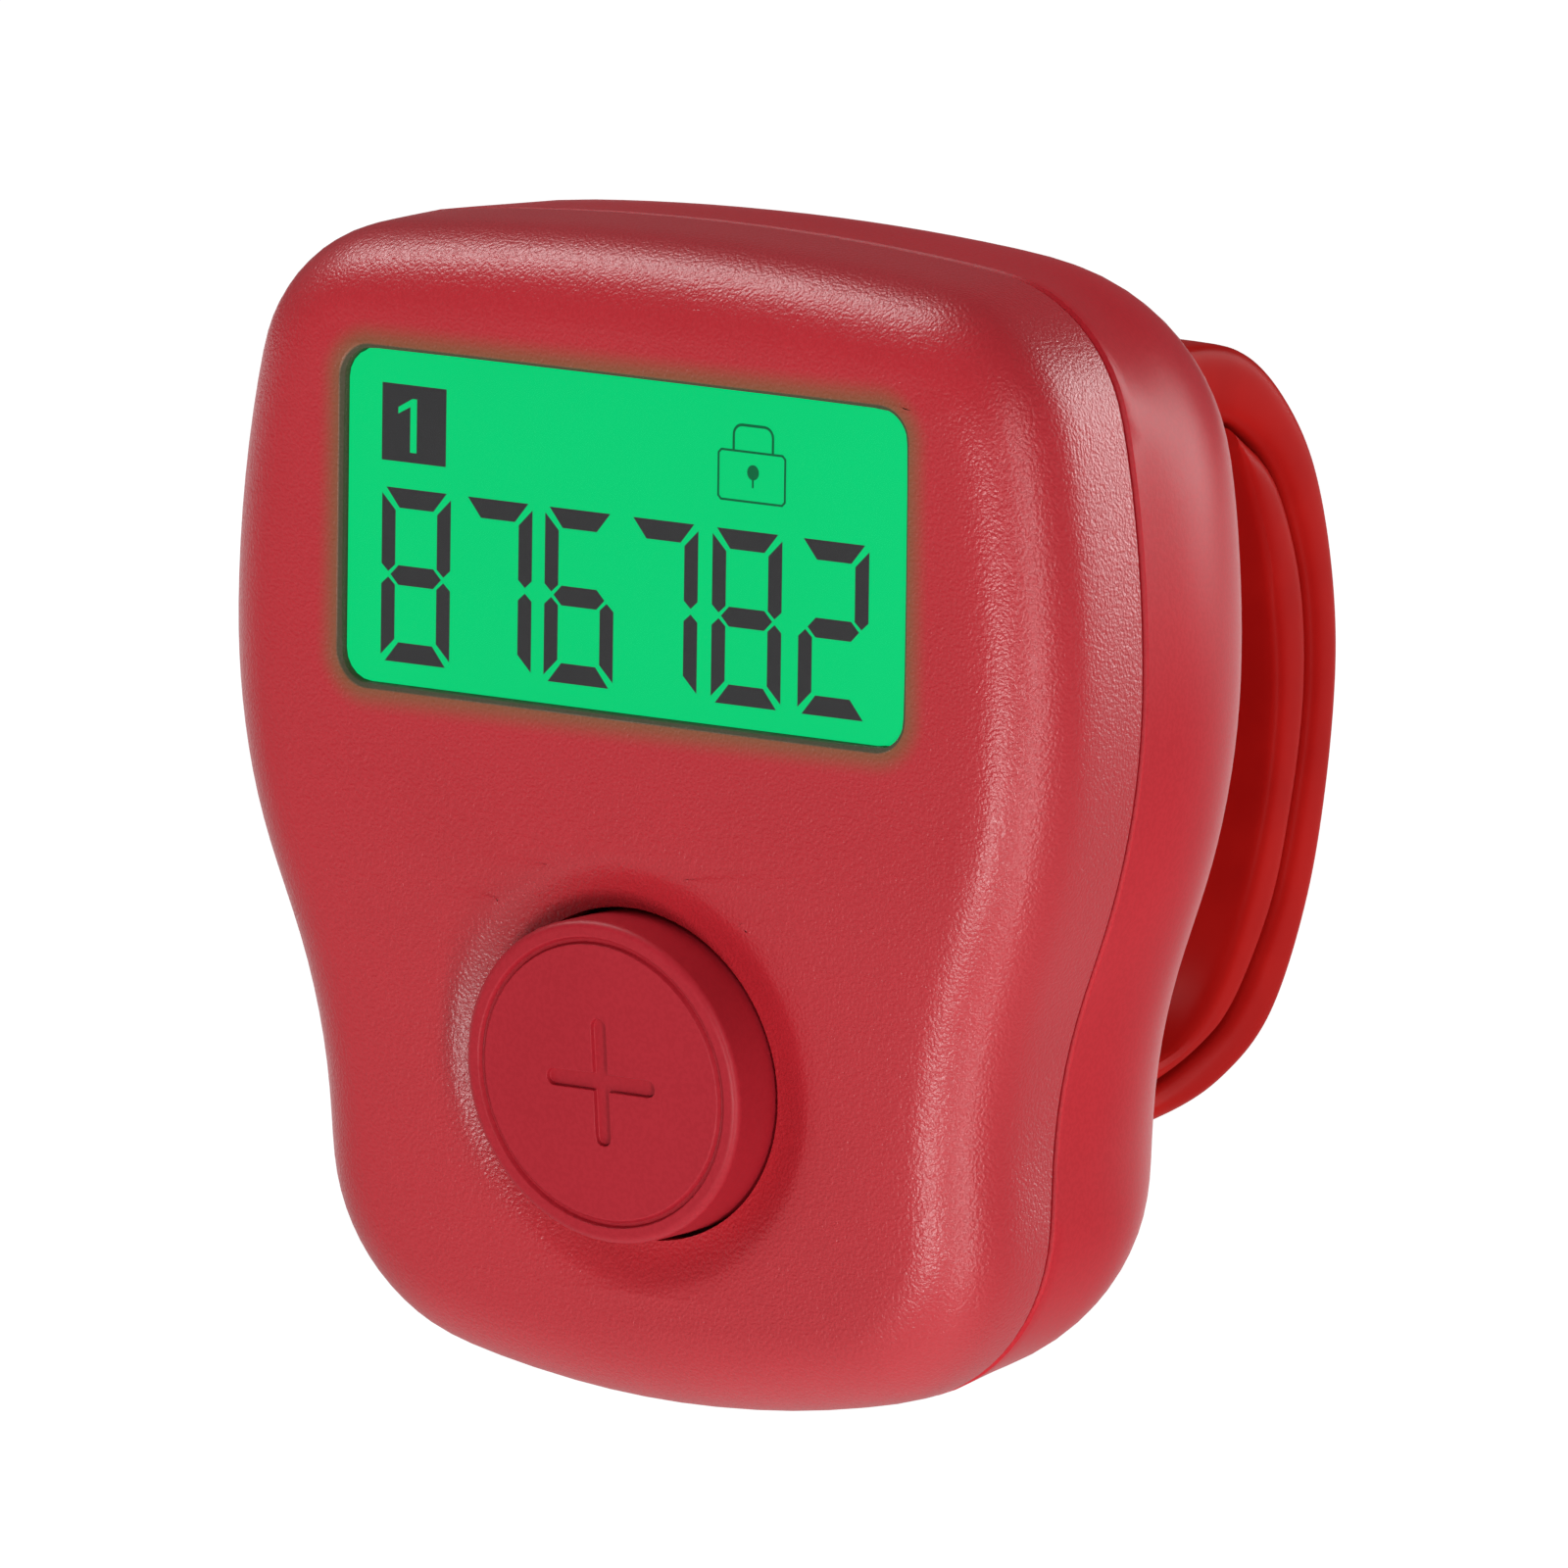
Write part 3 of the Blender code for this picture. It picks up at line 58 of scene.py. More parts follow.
class Socket:
    """A shader output that can be used in sums, each of which adds a Math node."""

    def __init__(self, recipe: "Recipe", output: bpy.types.NodeSocket) -> None:
        """Wrap one output.

        Args:
            recipe: The material that the output is in.
            output: The output itself.
        """
        self.recipe = recipe
        self.output = output

    def maths(self, operation: str, *terms: "Socket | float") -> "Socket":
        """Add a Math node.

        Args:
            operation: The node's operation.
            terms: What its inputs take, in order.

        Returns:
            The node's result.
        """
        made = self.recipe.node("ShaderNodeMath", {"operation": operation})
        for slot, term in zip(made.inputs, terms):
            if isinstance(term, Socket):
                self.recipe.tree.links.new(term.output, slot)
            else:
                slot.default_value = term
        return Socket(self.recipe, made.outputs[0])

    def __add__(self, other: "Socket | float") -> "Socket":
        """Return the sum."""
        return self.maths("ADD", self, other)

    def __radd__(self, other: float) -> "Socket":
        """Return the sum with a number in front."""
        return self.maths("ADD", other, self)

    def __sub__(self, other: "Socket | float") -> "Socket":
        """Return the difference."""
        return self.maths("SUBTRACT", self, other)

    def __rsub__(self, other: float) -> "Socket":
        """Return a number less this value."""
        return self.maths("SUBTRACT", other, self)

    def __mul__(self, other: "Socket | float") -> "Socket":
        """Return the product."""
        return self.maths("MULTIPLY", self, other)

    def __rmul__(self, other: float) -> "Socket":
        """Return the product with a number in front."""
        return self.maths("MULTIPLY", other, self)

    def absolute(self) -> "Socket":
        """Return the value without its sign."""
        return self.maths("ABSOLUTE", self)

    def larger(self, other: "Socket | float") -> "Socket":
        """Return the larger of two values."""
        return self.maths("MAXIMUM", self, other)

    def root(self) -> "Socket":
        """Return the square root."""
        return self.maths("SQRT", self)

    def swing(self, width: float) -> "Socket":
        """Return a value from 0 to 1 moved to lie about 0, with its ends this far apart."""
        return width * (self - 0.5)

    def fade(self, start: float, end: float) -> "Socket":
        """Return 0 at start and 1 at end, smooth between them.

        Args:
            start: The value that gives 0.
            end: The value that gives 1.

        Returns:
            The faded value.
        """
        made = self.recipe.node("ShaderNodeMapRange", {"interpolation_type": "SMOOTHSTEP"},
                                Value=self, From_Min=start, From_Max=end)
        return Socket(self.recipe, made.outputs["Result"])


class Recipe:
    """One material being built. Its node method adds every node but the main shader."""

    def __init__(self, name: str, preview: Colour) -> None:
        """Start a material with its main shader.

        Args:
            name: The material's name.
            preview: The colour that a plain viewer shows.
        """
        self.material = bpy.data.materials.new(name)
        self.material.use_nodes = True
        self.material.diffuse_color = (*preview, 1.0)
        self.tree = self.material.node_tree
        self.shader = self.tree.nodes["Principled BSDF"]
        self.place = self.node("ShaderNodeTexCoord").outputs["Object"]

    def node(self, kind: str, settings: dict[str, object] | None = None,
             **inputs: object) -> bpy.types.Node:
        """Add a node.

        Args:
            kind: The node's type.
            settings: Its own settings, which are set first.
            inputs: Values or outputs for its sockets, with _ for a space in a name.

        Returns:
            The new node.
        """
        made = self.tree.nodes.new(kind)
        for key, value in (settings or {}).items():
            setattr(made, key, value)
        for key, value in inputs.items():
            self.feed(made, key.replace("_", " "), value)
        return made

    def feed(self, made: bpy.types.Node, key: str, value: object) -> None:
        """Give one socket of a node its value or its link.

        Args:
            made: The node.
            key: The socket's name.
            value: A number, a colour, an output or a Socket.
        """
        slot = next(s for s in made.inputs if s.name == key and s.enabled)
        if isinstance(value, Socket):
            value = value.output
        if isinstance(value, bpy.types.NodeSocket):
            self.tree.links.new(value, slot)
        elif isinstance(value, tuple) and len(value) == 3 and slot.type == "RGBA":
            slot.default_value = (*value, 1.0)
        else:
            slot.default_value = value

    def principled(self, **inputs: object) -> None:
        """Give sockets of the main shader values or outputs, with _ for a space in a name."""
        for key, value in inputs.items():
            self.feed(self.shader, key.replace("_", " "), value)

    def noise(self, scale: float, detail: float = 2.0) -> Socket:
        """Return noise from 0 to 1.

        Args:
            scale: Waves per metre.
            detail: How many finer layers it has.

        Returns:
            The noise.
        """
        made = self.node("ShaderNodeTexNoise", None, Vector=self.place, Scale=scale,
                         Detail=detail)
        return Socket(self, made.outputs[0])

    def axes(self) -> list[Socket]:
        """Return the place's x, y and z, in metres."""
        made = self.node("ShaderNodeSeparateXYZ", None, Vector=self.place)
        return [Socket(self, out) for out in made.outputs]

    def mix(self, factor: Socket, low: object, high: object) -> bpy.types.NodeSocket:
        """Mix two colours.

        Args:
            factor: 0 for the first, 1 for the second.
            low: The first colour or output.
            high: The second colour or output.

        Returns:
            The mixed colour.
        """
        made = self.node("ShaderNodeMix", {"data_type": "RGBA"}, Factor=factor, A=low, B=high)
        return next(out for out in made.outputs if out.type == "RGBA")

    def bump(self, height: Socket, distance: float, strength: float,
             below: bpy.types.NodeSocket | None = None) -> bpy.types.NodeSocket:
        """Return a normal that a height map bends.

        Args:
            height: The height, from 0 to 1.
            distance: The height of 1, in metres.
            strength: How much of it is used.
            below: A normal to start from.

        Returns:
            The bent normal.
        """
        made = self.node("ShaderNodeBump", None, Height=height, Distance=distance,
                         Strength=strength)
        if below is not None:
            self.feed(made, "Normal", below)
        return made.outputs[0]


@dataclass(frozen=True)
class Finish(ABC):
    """A finish, by the name that FINISHES keeps it under. Heights are in metres."""

    name: str

    @abstractmethod
    def build(self) -> bpy.types.Material:
        """Return the material."""


def shaded(colour: Colour, share: float) -> Colour:
    """Return a colour with each channel scaled."""
    red, green, blue = colour
    return share * red, share * green, share * blue


@dataclass(frozen=True)
class GrainedPlastic(Finish):
    """Moulded plastic with a spark-eroded grain, and finer sand that breaks up highlights.

    Attributes:
        colour: The main colour.
        deep: The darker colour that slow clouds turn to at random, and that the grain's pits
            are painted with as shade.
        grain_per_metre: How fine the grain is.
        grain_height: How deep its pits are.
        grain_strength: How much of the grain's relief and of the sand is used.
        roughness: The mean roughness.
        gloss: The strength of reflections.
        lens_glow: Whether the lit window's glow is painted on it, with painted shade on the
            window's rim.
        sand_to_grain: How much finer the sand is than the grain.
        sand_rough: How far the sand changes the roughness.
    """

    colour: Colour
    deep: Colour
    grain_per_metre: float
    grain_height: float
    grain_strength: float
    roughness: float
    gloss: float
    lens_glow: bool = False
    cloud_per_metre: float = 160.0
    cloud_share: float = 0.3
    pit_shade_share: float = 0.4
    grain_rough: float = 0.10
    cloud_rough: float = 0.06
    rim_rough: float = 0.5
    waves_per_metre: float = 420.0
    wave_height: float = 0.00002
    wave_strength: float = 0.2
    sand_to_grain: float = 1.6
    sand_rough: float = 0.07

    def build(self) -> bpy.types.Material:
        """Return the material."""
        recipe = Recipe(self.name, self.colour)
        grain = recipe.noise(self.grain_per_metre, 1.0)
        cloud = recipe.noise(self.cloud_per_metre, 3.0)
        # The slow clouds are tone that varies at random, and the grain's pits get painted
        # shade.
        pits = grain.fade(0.6, 0.4)
        depth = self.cloud_share * cloud.fade(0.35, 0.7) + self.pit_shade_share * pits
        colour = recipe.mix(depth, self.colour, self.deep)
        rough = self.roughness + grain.swing(self.grain_rough) + cloud.swing(self.cloud_rough)
        if self.lens_glow:
            # Painted light: the display's glow is painted into the colour and the emission
            # beside the window.
            near, rim = self.window_halo(recipe)
            colour = recipe.mix(near, colour, DISPLAY.painted_glow_tint)
            # Painted shade: the window's rim and the wall of its opening are painted dark.
            colour = recipe.mix(rim, colour, DISPLAY.rim_shade)
            lit = recipe.mix(near, (0.0, 0.0, 0.0), DISPLAY.painted_glow_light)
            recipe.principled(Emission_Color=lit, Emission_Strength=1.0)
            rough = rough + self.rim_rough * rim
        waves = recipe.noise(self.waves_per_metre, 1.0)
        normal = recipe.bump(waves, self.wave_height, self.wave_strength)
        normal = recipe.bump(grain, self.grain_height, self.grain_strength, normal)
        # Sand finer than the grain varies the roughness, so highlights break up in specks.
        sand = recipe.noise(self.sand_to_grain * self.grain_per_metre, 1.0).fade(0.62, 0.38)
        rough = rough + sand.swing(self.sand_rough * self.grain_strength)
        recipe.principled(Base_Color=colour, Roughness=rough, Normal=normal, IOR=1.5,
                          Specular_IOR_Level=self.gloss)
        return recipe.material

    @staticmethod
    def window_halo(recipe: Recipe) -> tuple[Socket, Socket]:
        """Find where the display's glow is painted on the case, and where the window's rim
        gets painted shade.

        Args:
            recipe: The material that is built.

        Returns:
            How strong the light is, and how strong the rim's shade is.
        """
        x, y, z = recipe.axes()
        # How far a place is outside the window's opening, with its rounded corners.
        corner = DISPLAY.window_corner * MM
        wide = (x.absolute() - (DISPLAY.window_width / 2 * MM - corner)).larger(0.0)
        high = ((z - DISPLAY.centre_z * MM).absolute()
                - (DISPLAY.window_height / 2 * MM - corner)).larger(0.0)
        away = ((wide * wide + high * high).root() - corner).larger(0.0)
        front = y.fade(DISPLAY.halo_back * MM, DISPLAY.halo_front * MM)
        halo = away.fade(DISPLAY.halo_reach * MM, 0.0)
        rim = away.fade(DISPLAY.rim_reach * MM, DISPLAY.rim_full * MM)
        return DISPLAY.halo_share * halo * front, DISPLAY.rim_share * rim * front


@dataclass(frozen=True)
class SiliconeRubber(Finish):
    """Moulded rubber with a faint flow pattern and a soft sheen."""

    colour: Colour
    deep: Colour
    roughness: float
    gloss: float
    cloud_per_metre: float = 240.0
    cloud_rough: float = 0.08
    fine_per_metre: float = 2600.0
    fine_rough: float = 0.05
    fine_height: float = 0.000006
    fine_strength: float = 0.4

    def build(self) -> bpy.types.Material:
        """Return the material."""
        recipe = Recipe(self.name, self.colour)
        cloud = recipe.noise(self.cloud_per_metre, 3.0)
        fine = recipe.noise(self.fine_per_metre)
        colour = recipe.mix(cloud.fade(0.3, 0.75), self.colour, self.deep)
        rough = self.roughness + cloud.swing(self.cloud_rough) + fine.swing(self.fine_rough)
        normal = recipe.bump(fine, self.fine_height, self.fine_strength)
        recipe.principled(Base_Color=colour, Roughness=rough, Normal=normal, IOR=1.45,
                          Specular_IOR_Level=self.gloss)
        return recipe.material


@dataclass(frozen=True)
class LitDisplay(Finish):
    """The lit panel, a touch brighter towards its two side lamps.

    Attributes:
        lit: The light's colour.
        strength: How bright it is.
        dim_share: How bright the middle is beside the ends.
        dim_to: How far the dim middle reaches to each side, in metres.
        bright_from: Where the full brightness starts, in metres.
    """

    lit: Colour
    strength: float
    dim_share: float = 0.96
    dim_to: float = 0.006
    bright_from: float = 0.0125

    def build(self) -> bpy.types.Material:
        """Return the material."""
        recipe = Recipe(self.name, self.lit)
        x, _, _ = recipe.axes()
        side = x.absolute().fade(self.dim_to, self.bright_from)
        level = side * 0.6 + 0.1 * recipe.noise(300.0)
        lit = recipe.mix(level, shaded(self.lit, self.dim_share), self.lit)
        recipe.principled(Base_Color=(0.0, 0.02, 0.008), Roughness=0.5 + 0.05 * side,
                          Emission_Color=lit, Emission_Strength=self.strength,
                          Specular_IOR_Level=0.1)
        return recipe.material


@dataclass(frozen=True)
class DisplayInk(Finish):
    """A dark, matt display segment that lets a little of the light through."""

    colour: Colour
    leak: Colour
    deep_share: float = 0.85

    def build(self) -> bpy.types.Material:
        """Return the material."""
        recipe = Recipe(self.name, self.colour)
        cloud = recipe.noise(900.0)
        colour = recipe.mix(cloud, self.colour, shaded(self.colour, self.deep_share))
        recipe.principled(Base_Color=colour, Roughness=0.7 + 0.05 * cloud,
                          Emission_Color=self.leak, Emission_Strength=1.0,
                          Specular_IOR_Level=0.1)
        return recipe.material


@dataclass(frozen=True)
class ClearCover(Finish):
    """A thin clear cover: almost all of it is seen through."""

    def build(self) -> bpy.types.Material:
        """Return the material."""
        recipe = Recipe(self.name, (0.8, 1.0, 0.9))
        haze = recipe.noise(500.0)
        recipe.principled(Base_Color=(0.01, 0.03, 0.02), Roughness=0.12 + 0.05 * haze,
                          Alpha=0.02 + 0.01 * haze)
        return recipe.material


@dataclass(frozen=True)
class Metal(Finish):
    """Plated or rolled metal with fine scratches along the X axis."""

    colour: Colour
    roughness: float
    deep_share: float = 0.82
    scratches_per_metre: tuple[float, float, float] = (400.0, 9000.0, 9000.0)
    scratch_rough: float = 0.14
    scratch_height: float = 0.000004
    scratch_strength: float = 0.5

    def build(self) -> bpy.types.Material:
        """Return the material."""
        recipe = Recipe(self.name, self.colour)
        stretched = recipe.node("ShaderNodeMapping", None, Vector=recipe.place,
                                Scale=self.scratches_per_metre)
        lines = recipe.node("ShaderNodeTexNoise", None, Vector=stretched.outputs[0],
                            Scale=1.0, Detail=2.0)
        scratch = Socket(recipe, lines.outputs[0])
        cloud = recipe.noise(500.0)
        colour = recipe.mix(cloud.fade(0.35, 0.7), self.colour,
                            shaded(self.colour, self.deep_share))
        rough = self.roughness + scratch.swing(self.scratch_rough)
        normal = recipe.bump(scratch, self.scratch_height, self.scratch_strength)
        recipe.principled(Base_Color=colour, Metallic=1.0, Roughness=rough, Normal=normal)
        return recipe.material


@dataclass(frozen=True)
class SolderMask(Finish):
    """A green board with copper tracks under its lacquer."""

    colour: Colour
    track: Colour
    cells_per_metre: float = 420.0
    track_height: float = 0.00003
    track_strength: float = 0.6

    def build(self) -> bpy.types.Material:
        """Return the material."""
        recipe = Recipe(self.name, self.colour)
        cells = recipe.node("ShaderNodeTexVoronoi", {"feature": "DISTANCE_TO_EDGE",
                                                     "distance": "EUCLIDEAN"},
                            Vector=recipe.place, Scale=self.cells_per_metre,
                            Randomness=0.35)
        edge = Socket(recipe, cells.outputs["Distance"])
        track = edge.fade(0.10, 0.07)
        colour = recipe.mix(track, self.colour, self.track)
        normal = recipe.bump(track, self.track_height, self.track_strength)
        recipe.principled(Base_Color=colour, Roughness=0.42 - 0.08 * track, Normal=normal)
        return recipe.material


@dataclass(frozen=True)
class Moulded(Finish):
    """A plain moulded or fired part with a fine, even surface."""

    colour: Colour
    roughness: float
    deep_share: float = 0.75
    grain_per_metre: float = 5000.0
    grain_rough: float = 0.1
    grain_height: float = 0.00001
    grain_strength: float = 0.3

    def build(self) -> bpy.types.Material:
        """Return the material."""
        recipe = Recipe(self.name, self.colour)
        grain = recipe.noise(self.grain_per_metre)
        cloud = recipe.noise(350.0)
        colour = recipe.mix(0.5 * cloud + 0.3 * grain, self.colour,
                            shaded(self.colour, self.deep_share))
        rough = self.roughness + grain.swing(self.grain_rough)
        normal = recipe.bump(grain, self.grain_height, self.grain_strength)
        recipe.principled(Base_Color=colour, Roughness=rough, Normal=normal)
        return recipe.material


@dataclass(frozen=True)
class StripedRubber(Finish):
    """The display's connector: thin dark layers between light ones."""

    light: Colour
    dark: Colour
    stripe_scale: float = 1400.0

    def build(self) -> bpy.types.Material:
        """Return the material."""
        recipe = Recipe(self.name, self.light)
        waves = recipe.node("ShaderNodeTexWave", {"bands_direction": "X"},
                            Vector=recipe.place, Scale=self.stripe_scale, Distortion=0.0)
        stripe = Socket(recipe, waves.outputs["Fac"]).fade(0.4, 0.6)
        recipe.principled(Base_Color=recipe.mix(stripe, self.light, self.dark),
                          Roughness=0.6 + 0.1 * stripe)
        return recipe.material


class Bench:
    """The modelling steps that the sub-assemblies share. Sizes are in millimetres."""

    weld_gap: float = 0.0008
    flat_deg: float = 0.4
    quad_fold_deg: float = 20.0
    quad_shape_deg: float = 50.0
    edge_segments: int = 2

    @staticmethod
    def only(item: bpy.types.Object) -> None:
        """Select one object alone and make it active.

        Args:
            item: The object.
        """
        bpy.ops.object.select_all(action="DESELECT")
        item.select_set(True)
        bpy.context.view_layer.objects.active = item

    @staticmethod
    def settle(item: bpy.types.Object) -> None:
        """Put an object's place into its mesh."""
        Bench.only(item)
        bpy.ops.object.transform_apply(location=True, rotation=True, scale=True)

    @staticmethod
    def finish(item: bpy.types.Object, name: str, finish: bpy.types.Material, body: str,
               slot: str) -> None:
        """Name a piece, dress it and let it ride on its body.

        Args:
            item: The piece.
            name: Its name.
            finish: Its material.
            body: The CAD body that it moves with.
            slot: The record's material slot; not used.
        """
        item.name = name
        item.data.name = name
        item.data.materials.clear()
        item.data.materials.append(finish)
        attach(item, body)
        LOG.info("%s: %d faces on %s", name, len(item.data.polygons), body)

    @staticmethod
    def finer(item: bpy.types.Object, crease_deg: float, rounds: int) -> None:
        """Divide a copy's curved faces so that its outline has no corners of its own.

        Args:
            item: The copy, which is active.
            crease_deg: Edges sharper than this stay edges.
            rounds: How many times each face is divided.
        """
        bpy.ops.object.mode_set(mode="EDIT")
        bpy.ops.mesh.select_all(action="SELECT")
        # Quads divide evenly, and a crease keeps a sharp edge where it is.
        bpy.ops.mesh.tris_convert_to_quads(
            face_threshold=math.radians(Bench.quad_fold_deg),
            shape_threshold=math.radians(Bench.quad_shape_deg))
        bpy.ops.mesh.select_mode(type="EDGE")
        bpy.ops.mesh.select_all(action="DESELECT")
        bpy.ops.mesh.edges_select_sharp(sharpness=math.radians(crease_deg))
        bpy.ops.transform.edge_crease(value=1.0)
        bpy.ops.object.mode_set(mode="OBJECT")
        divide = item.modifiers.new("finer_curves", "SUBSURF")
        divide.levels = rounds
        divide.render_levels = rounds
        bpy.ops.object.modifier_apply(modifier=divide.name)

    @staticmethod
    def refined(node: str, crease_deg: float, edge: float, rounds: int) -> bpy.types.Object:
        """Make a clean copy of a CAD node with smooth shading and softened edges.

        Args:
            node: The CAD node.
            crease_deg: Edges sharper than this stay edges.
            edge: How far each of them is rounded, or 0.
            rounds: How many times its curved faces are divided, or 0.

        Returns:
            The copy, which stands for the node.
        """
        source = frame["nodes"][node]
        item = bpy.data.objects.new(f"{node}_copy", source.data.copy())
        bpy.context.scene.collection.objects.link(item)
        Bench.only(item)
        bpy.ops.mesh.customdata_custom_splitnormals_clear()
        bpy.ops.object.mode_set(mode="EDIT")
        bpy.ops.mesh.select_all(action="SELECT")
        # A CAD node's mesh is loose triangles, so their corners are welded first.
        bpy.ops.mesh.remove_doubles(threshold=Bench.weld_gap * MM)
        if rounds == 0:
            bpy.ops.mesh.dissolve_limited(angle_limit=math.radians(Bench.flat_deg))
        bpy.ops.object.mode_set(mode="OBJECT")
        if rounds > 0:
            Bench.finer(item, crease_deg, rounds)
        if edge > 0.0:
            bevel = item.modifiers.new("soft_edges", "BEVEL")
            bevel.width = edge * MM
            bevel.segments = Bench.edge_segments
            bevel.limit_method = "ANGLE"
            bevel.angle_limit = math.radians(crease_deg)
            bevel.use_clamp_overlap = True
            bpy.ops.object.modifier_apply(modifier=bevel.name)
        bpy.ops.object.shade_smooth_by_angle(angle=math.radians(crease_deg))
        weighted = item.modifiers.new("flat_faces_first", "WEIGHTED_NORMAL")
        weighted.keep_sharp = True
        bpy.ops.object.modifier_apply(modifier=weighted.name)
        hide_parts(node)
        return item

    @staticmethod
    def outline_plate(points: Sequence[Point], y: float, depth: float) -> bpy.types.Object:
        """Make a thin plate from an outline.

        Args:
            points: The outline's (x, z) corners.
            y: Where its front face is in depth.
            depth: Its thickness.

        Returns:
            The plate.
        """
        bpy.ops.object.select_all(action="DESELECT")
        bpy.ops.mesh.primitive_circle_add(vertices=len(points), radius=MM, fill_type="NGON")
        item = bpy.context.active_object
        for vertex, (x, z) in zip(item.data.vertices, points):
            vertex.co = Vector((x, y, z)) * MM
        bpy.ops.object.mode_set(mode="EDIT")
        bpy.ops.mesh.select_all(action="SELECT")
        bpy.ops.mesh.extrude_region_move(
            TRANSFORM_OT_translate={"value": (0.0, depth * MM, 0.0)})
        bpy.ops.mesh.select_all(action="SELECT")
        bpy.ops.mesh.normals_make_consistent(inside=False)
        bpy.ops.object.mode_set(mode="OBJECT")
        return item

    @staticmethod
    def joined(items: Sequence[bpy.types.Object]) -> bpy.types.Object:
        """Join several objects into one.

        Args:
            items: The objects, of which the first takes in the others.

        Returns:
            The first object.
        """
        bpy.ops.object.select_all(action="DESELECT")
        for item in items:
            item.select_set(True)
        bpy.context.view_layer.objects.active = items[0]
        bpy.ops.object.join()
        return items[0]


class Segment(Enum):
    """The seven bars of a digit, by the letters that display makers use."""

    TOP = "a"
    UPPER_RIGHT = "b"
    LOWER_RIGHT = "c"
    BOTTOM = "d"
    LOWER_LEFT = "e"
    UPPER_LEFT = "f"
    MIDDLE = "g"


DIGIT_BARS: dict[str, str] = {"8": "abcdefg", "7": "abc", "6": "acdefg", "2": "abdeg"}


@dataclass
class Display:
    """The lit window: the panel, its cover and everything that it shows.

    Sizes are in millimetres. Signs and digits are placed from the window's centre, and
    the points of each are counted from its own lower left corner.
    """

    window_width: float = 24.0
    window_height: float = 12.0
    window_corner: float = 1.2
    centre_z: float = 9.2
    ink_y: float = -16.162
    ink_depth: float = 0.01
    shift: Point = (-0.24, -0.05)
    reading: str = "876782"
    digit_lefts: tuple[float, ...] = (-10.2, -6.7, -3.2, 0.37, 3.93, 7.6)
    digit_width: float = 2.95
    digit_height: float = 6.18
    digit_base: float = -5.06
    upright_wide: float = 0.58
    level_tall: float = 0.7
    corner: float = 0.18
    mitre: float = 0.57
    upright_drop: float = 0.22
    waist_gap: float = 0.36
    waist_tip: float = 0.1
    middle_point: float = 0.34
    badge_corner: Point = (-10.24, 2.06)
    badge_size: float = 2.75
    lock_corner: Point = (4.14, 2.15)
    lock_size: Point = (2.82, 1.75)
    line_flatness: float = 0.2
    # Painted glow beside the window, and painted shade on its rim.
    painted_glow_tint: Colour = (0.14, 0.085, 0.03)
    painted_glow_light: Colour = (0.004, 0.012, 0.002)
    rim_shade: Colour = (0.03, 0.03, 0.015)
    halo_back: float = -14.5
    halo_front: float = -15.8
    halo_reach: float = 1.1
    halo_share: float = 0.75
    rim_reach: float = 0.16
    rim_full: float = 0.08
    rim_share: float = 0.9

    def bar(self, segment: Segment) -> list[Point]:
        """Return one bar's outline in a digit whose lower left corner is the origin.

        Args:
            segment: Which bar.

        Returns:
            Its corners.
        """
        w, h, s, t = self.digit_width, self.digit_height, self.upright_wide, self.level_tall
        level = [(self.corner, h), (w - self.corner, h), (w - self.corner - self.mitre, h - t),
                 (self.corner + self.mitre, h - t)]
        middle = h / 2
        top = h - self.upright_drop
        upright = [(0.0, top), (s, top - s), (s, middle + self.waist_gap),
                   (s / 2, middle + self.waist_tip), (0.0, middle + self.waist_gap)]
        if segment is Segment.TOP:
            return level
        if segment is Segment.BOTTOM:
            return [(x, h - z) for x, z in level]
        if segment is Segment.MIDDLE:
            start = s / 2 + self.waist_tip
            flat = start + self.middle_point
            return [(start, middle), (flat, middle + t / 2), (w - flat, middle + t / 2),
                    (w - start, middle), (w - flat, middle - t / 2), (flat, middle - t / 2)]
        if segment is Segment.UPPER_LEFT:
            return upright
        if segment is Segment.UPPER_RIGHT:
            return [(w - x, z) for x, z in upright]
        if segment is Segment.LOWER_LEFT:
            return [(x, h - z) for x, z in upright]
        return [(w - x, h - z) for x, z in upright]

    def placed(self, points: Sequence[Point], at: Point) -> list[Point]:
        """Return an outline moved to its place on the panel."""
        return [(x + at[0] + self.shift[0], z + at[1] + self.centre_z + self.shift[1])
                for x, z in points]

    def digits(self, ink: bpy.types.Material) -> None:
        """Build the reading, one piece for each digit.

        Args:
            ink: The segments' material.
        """
        for number, (digit, left) in enumerate(zip(self.reading, self.digit_lefts), 1):
            bars = [Bench.outline_plate(
                self.placed(self.bar(segment), (left, self.digit_base)), self.ink_y,
                self.ink_depth) for segment in Segment if segment.value in DIGIT_BARS[digit]]
            Bench.finish(Bench.joined(bars), f"digit_{number}", ink, "case", "black_resin")

    def badge(self, ink: bpy.types.Material, lit: bpy.types.Material) -> None:
        """Build the dark square with its lit figure.

        Args:
            ink: The square's material.
            lit: The figure's material.
        """
        size = self.badge_size
        square = [(0.0, 0.0), (size, 0.0), (size, size), (0.0, size)]
        Bench.finish(Bench.outline_plate(self.placed(square, self.badge_corner), self.ink_y,
                                         self.ink_depth), "badge_square", ink, "case",
                     "black_resin")
        figure = [(1.22, 0.36), (1.49, 0.36), (1.49, 2.27), (1.30, 2.27), (0.70, 1.93),
                  (0.70, 1.70), (1.22, 1.98)]
        Bench.finish(Bench.outline_plate(self.placed(figure, self.badge_corner),
                                         self.ink_y - self.ink_depth, self.ink_depth),
                     "badge_figure", lit, "case", "display_glass")

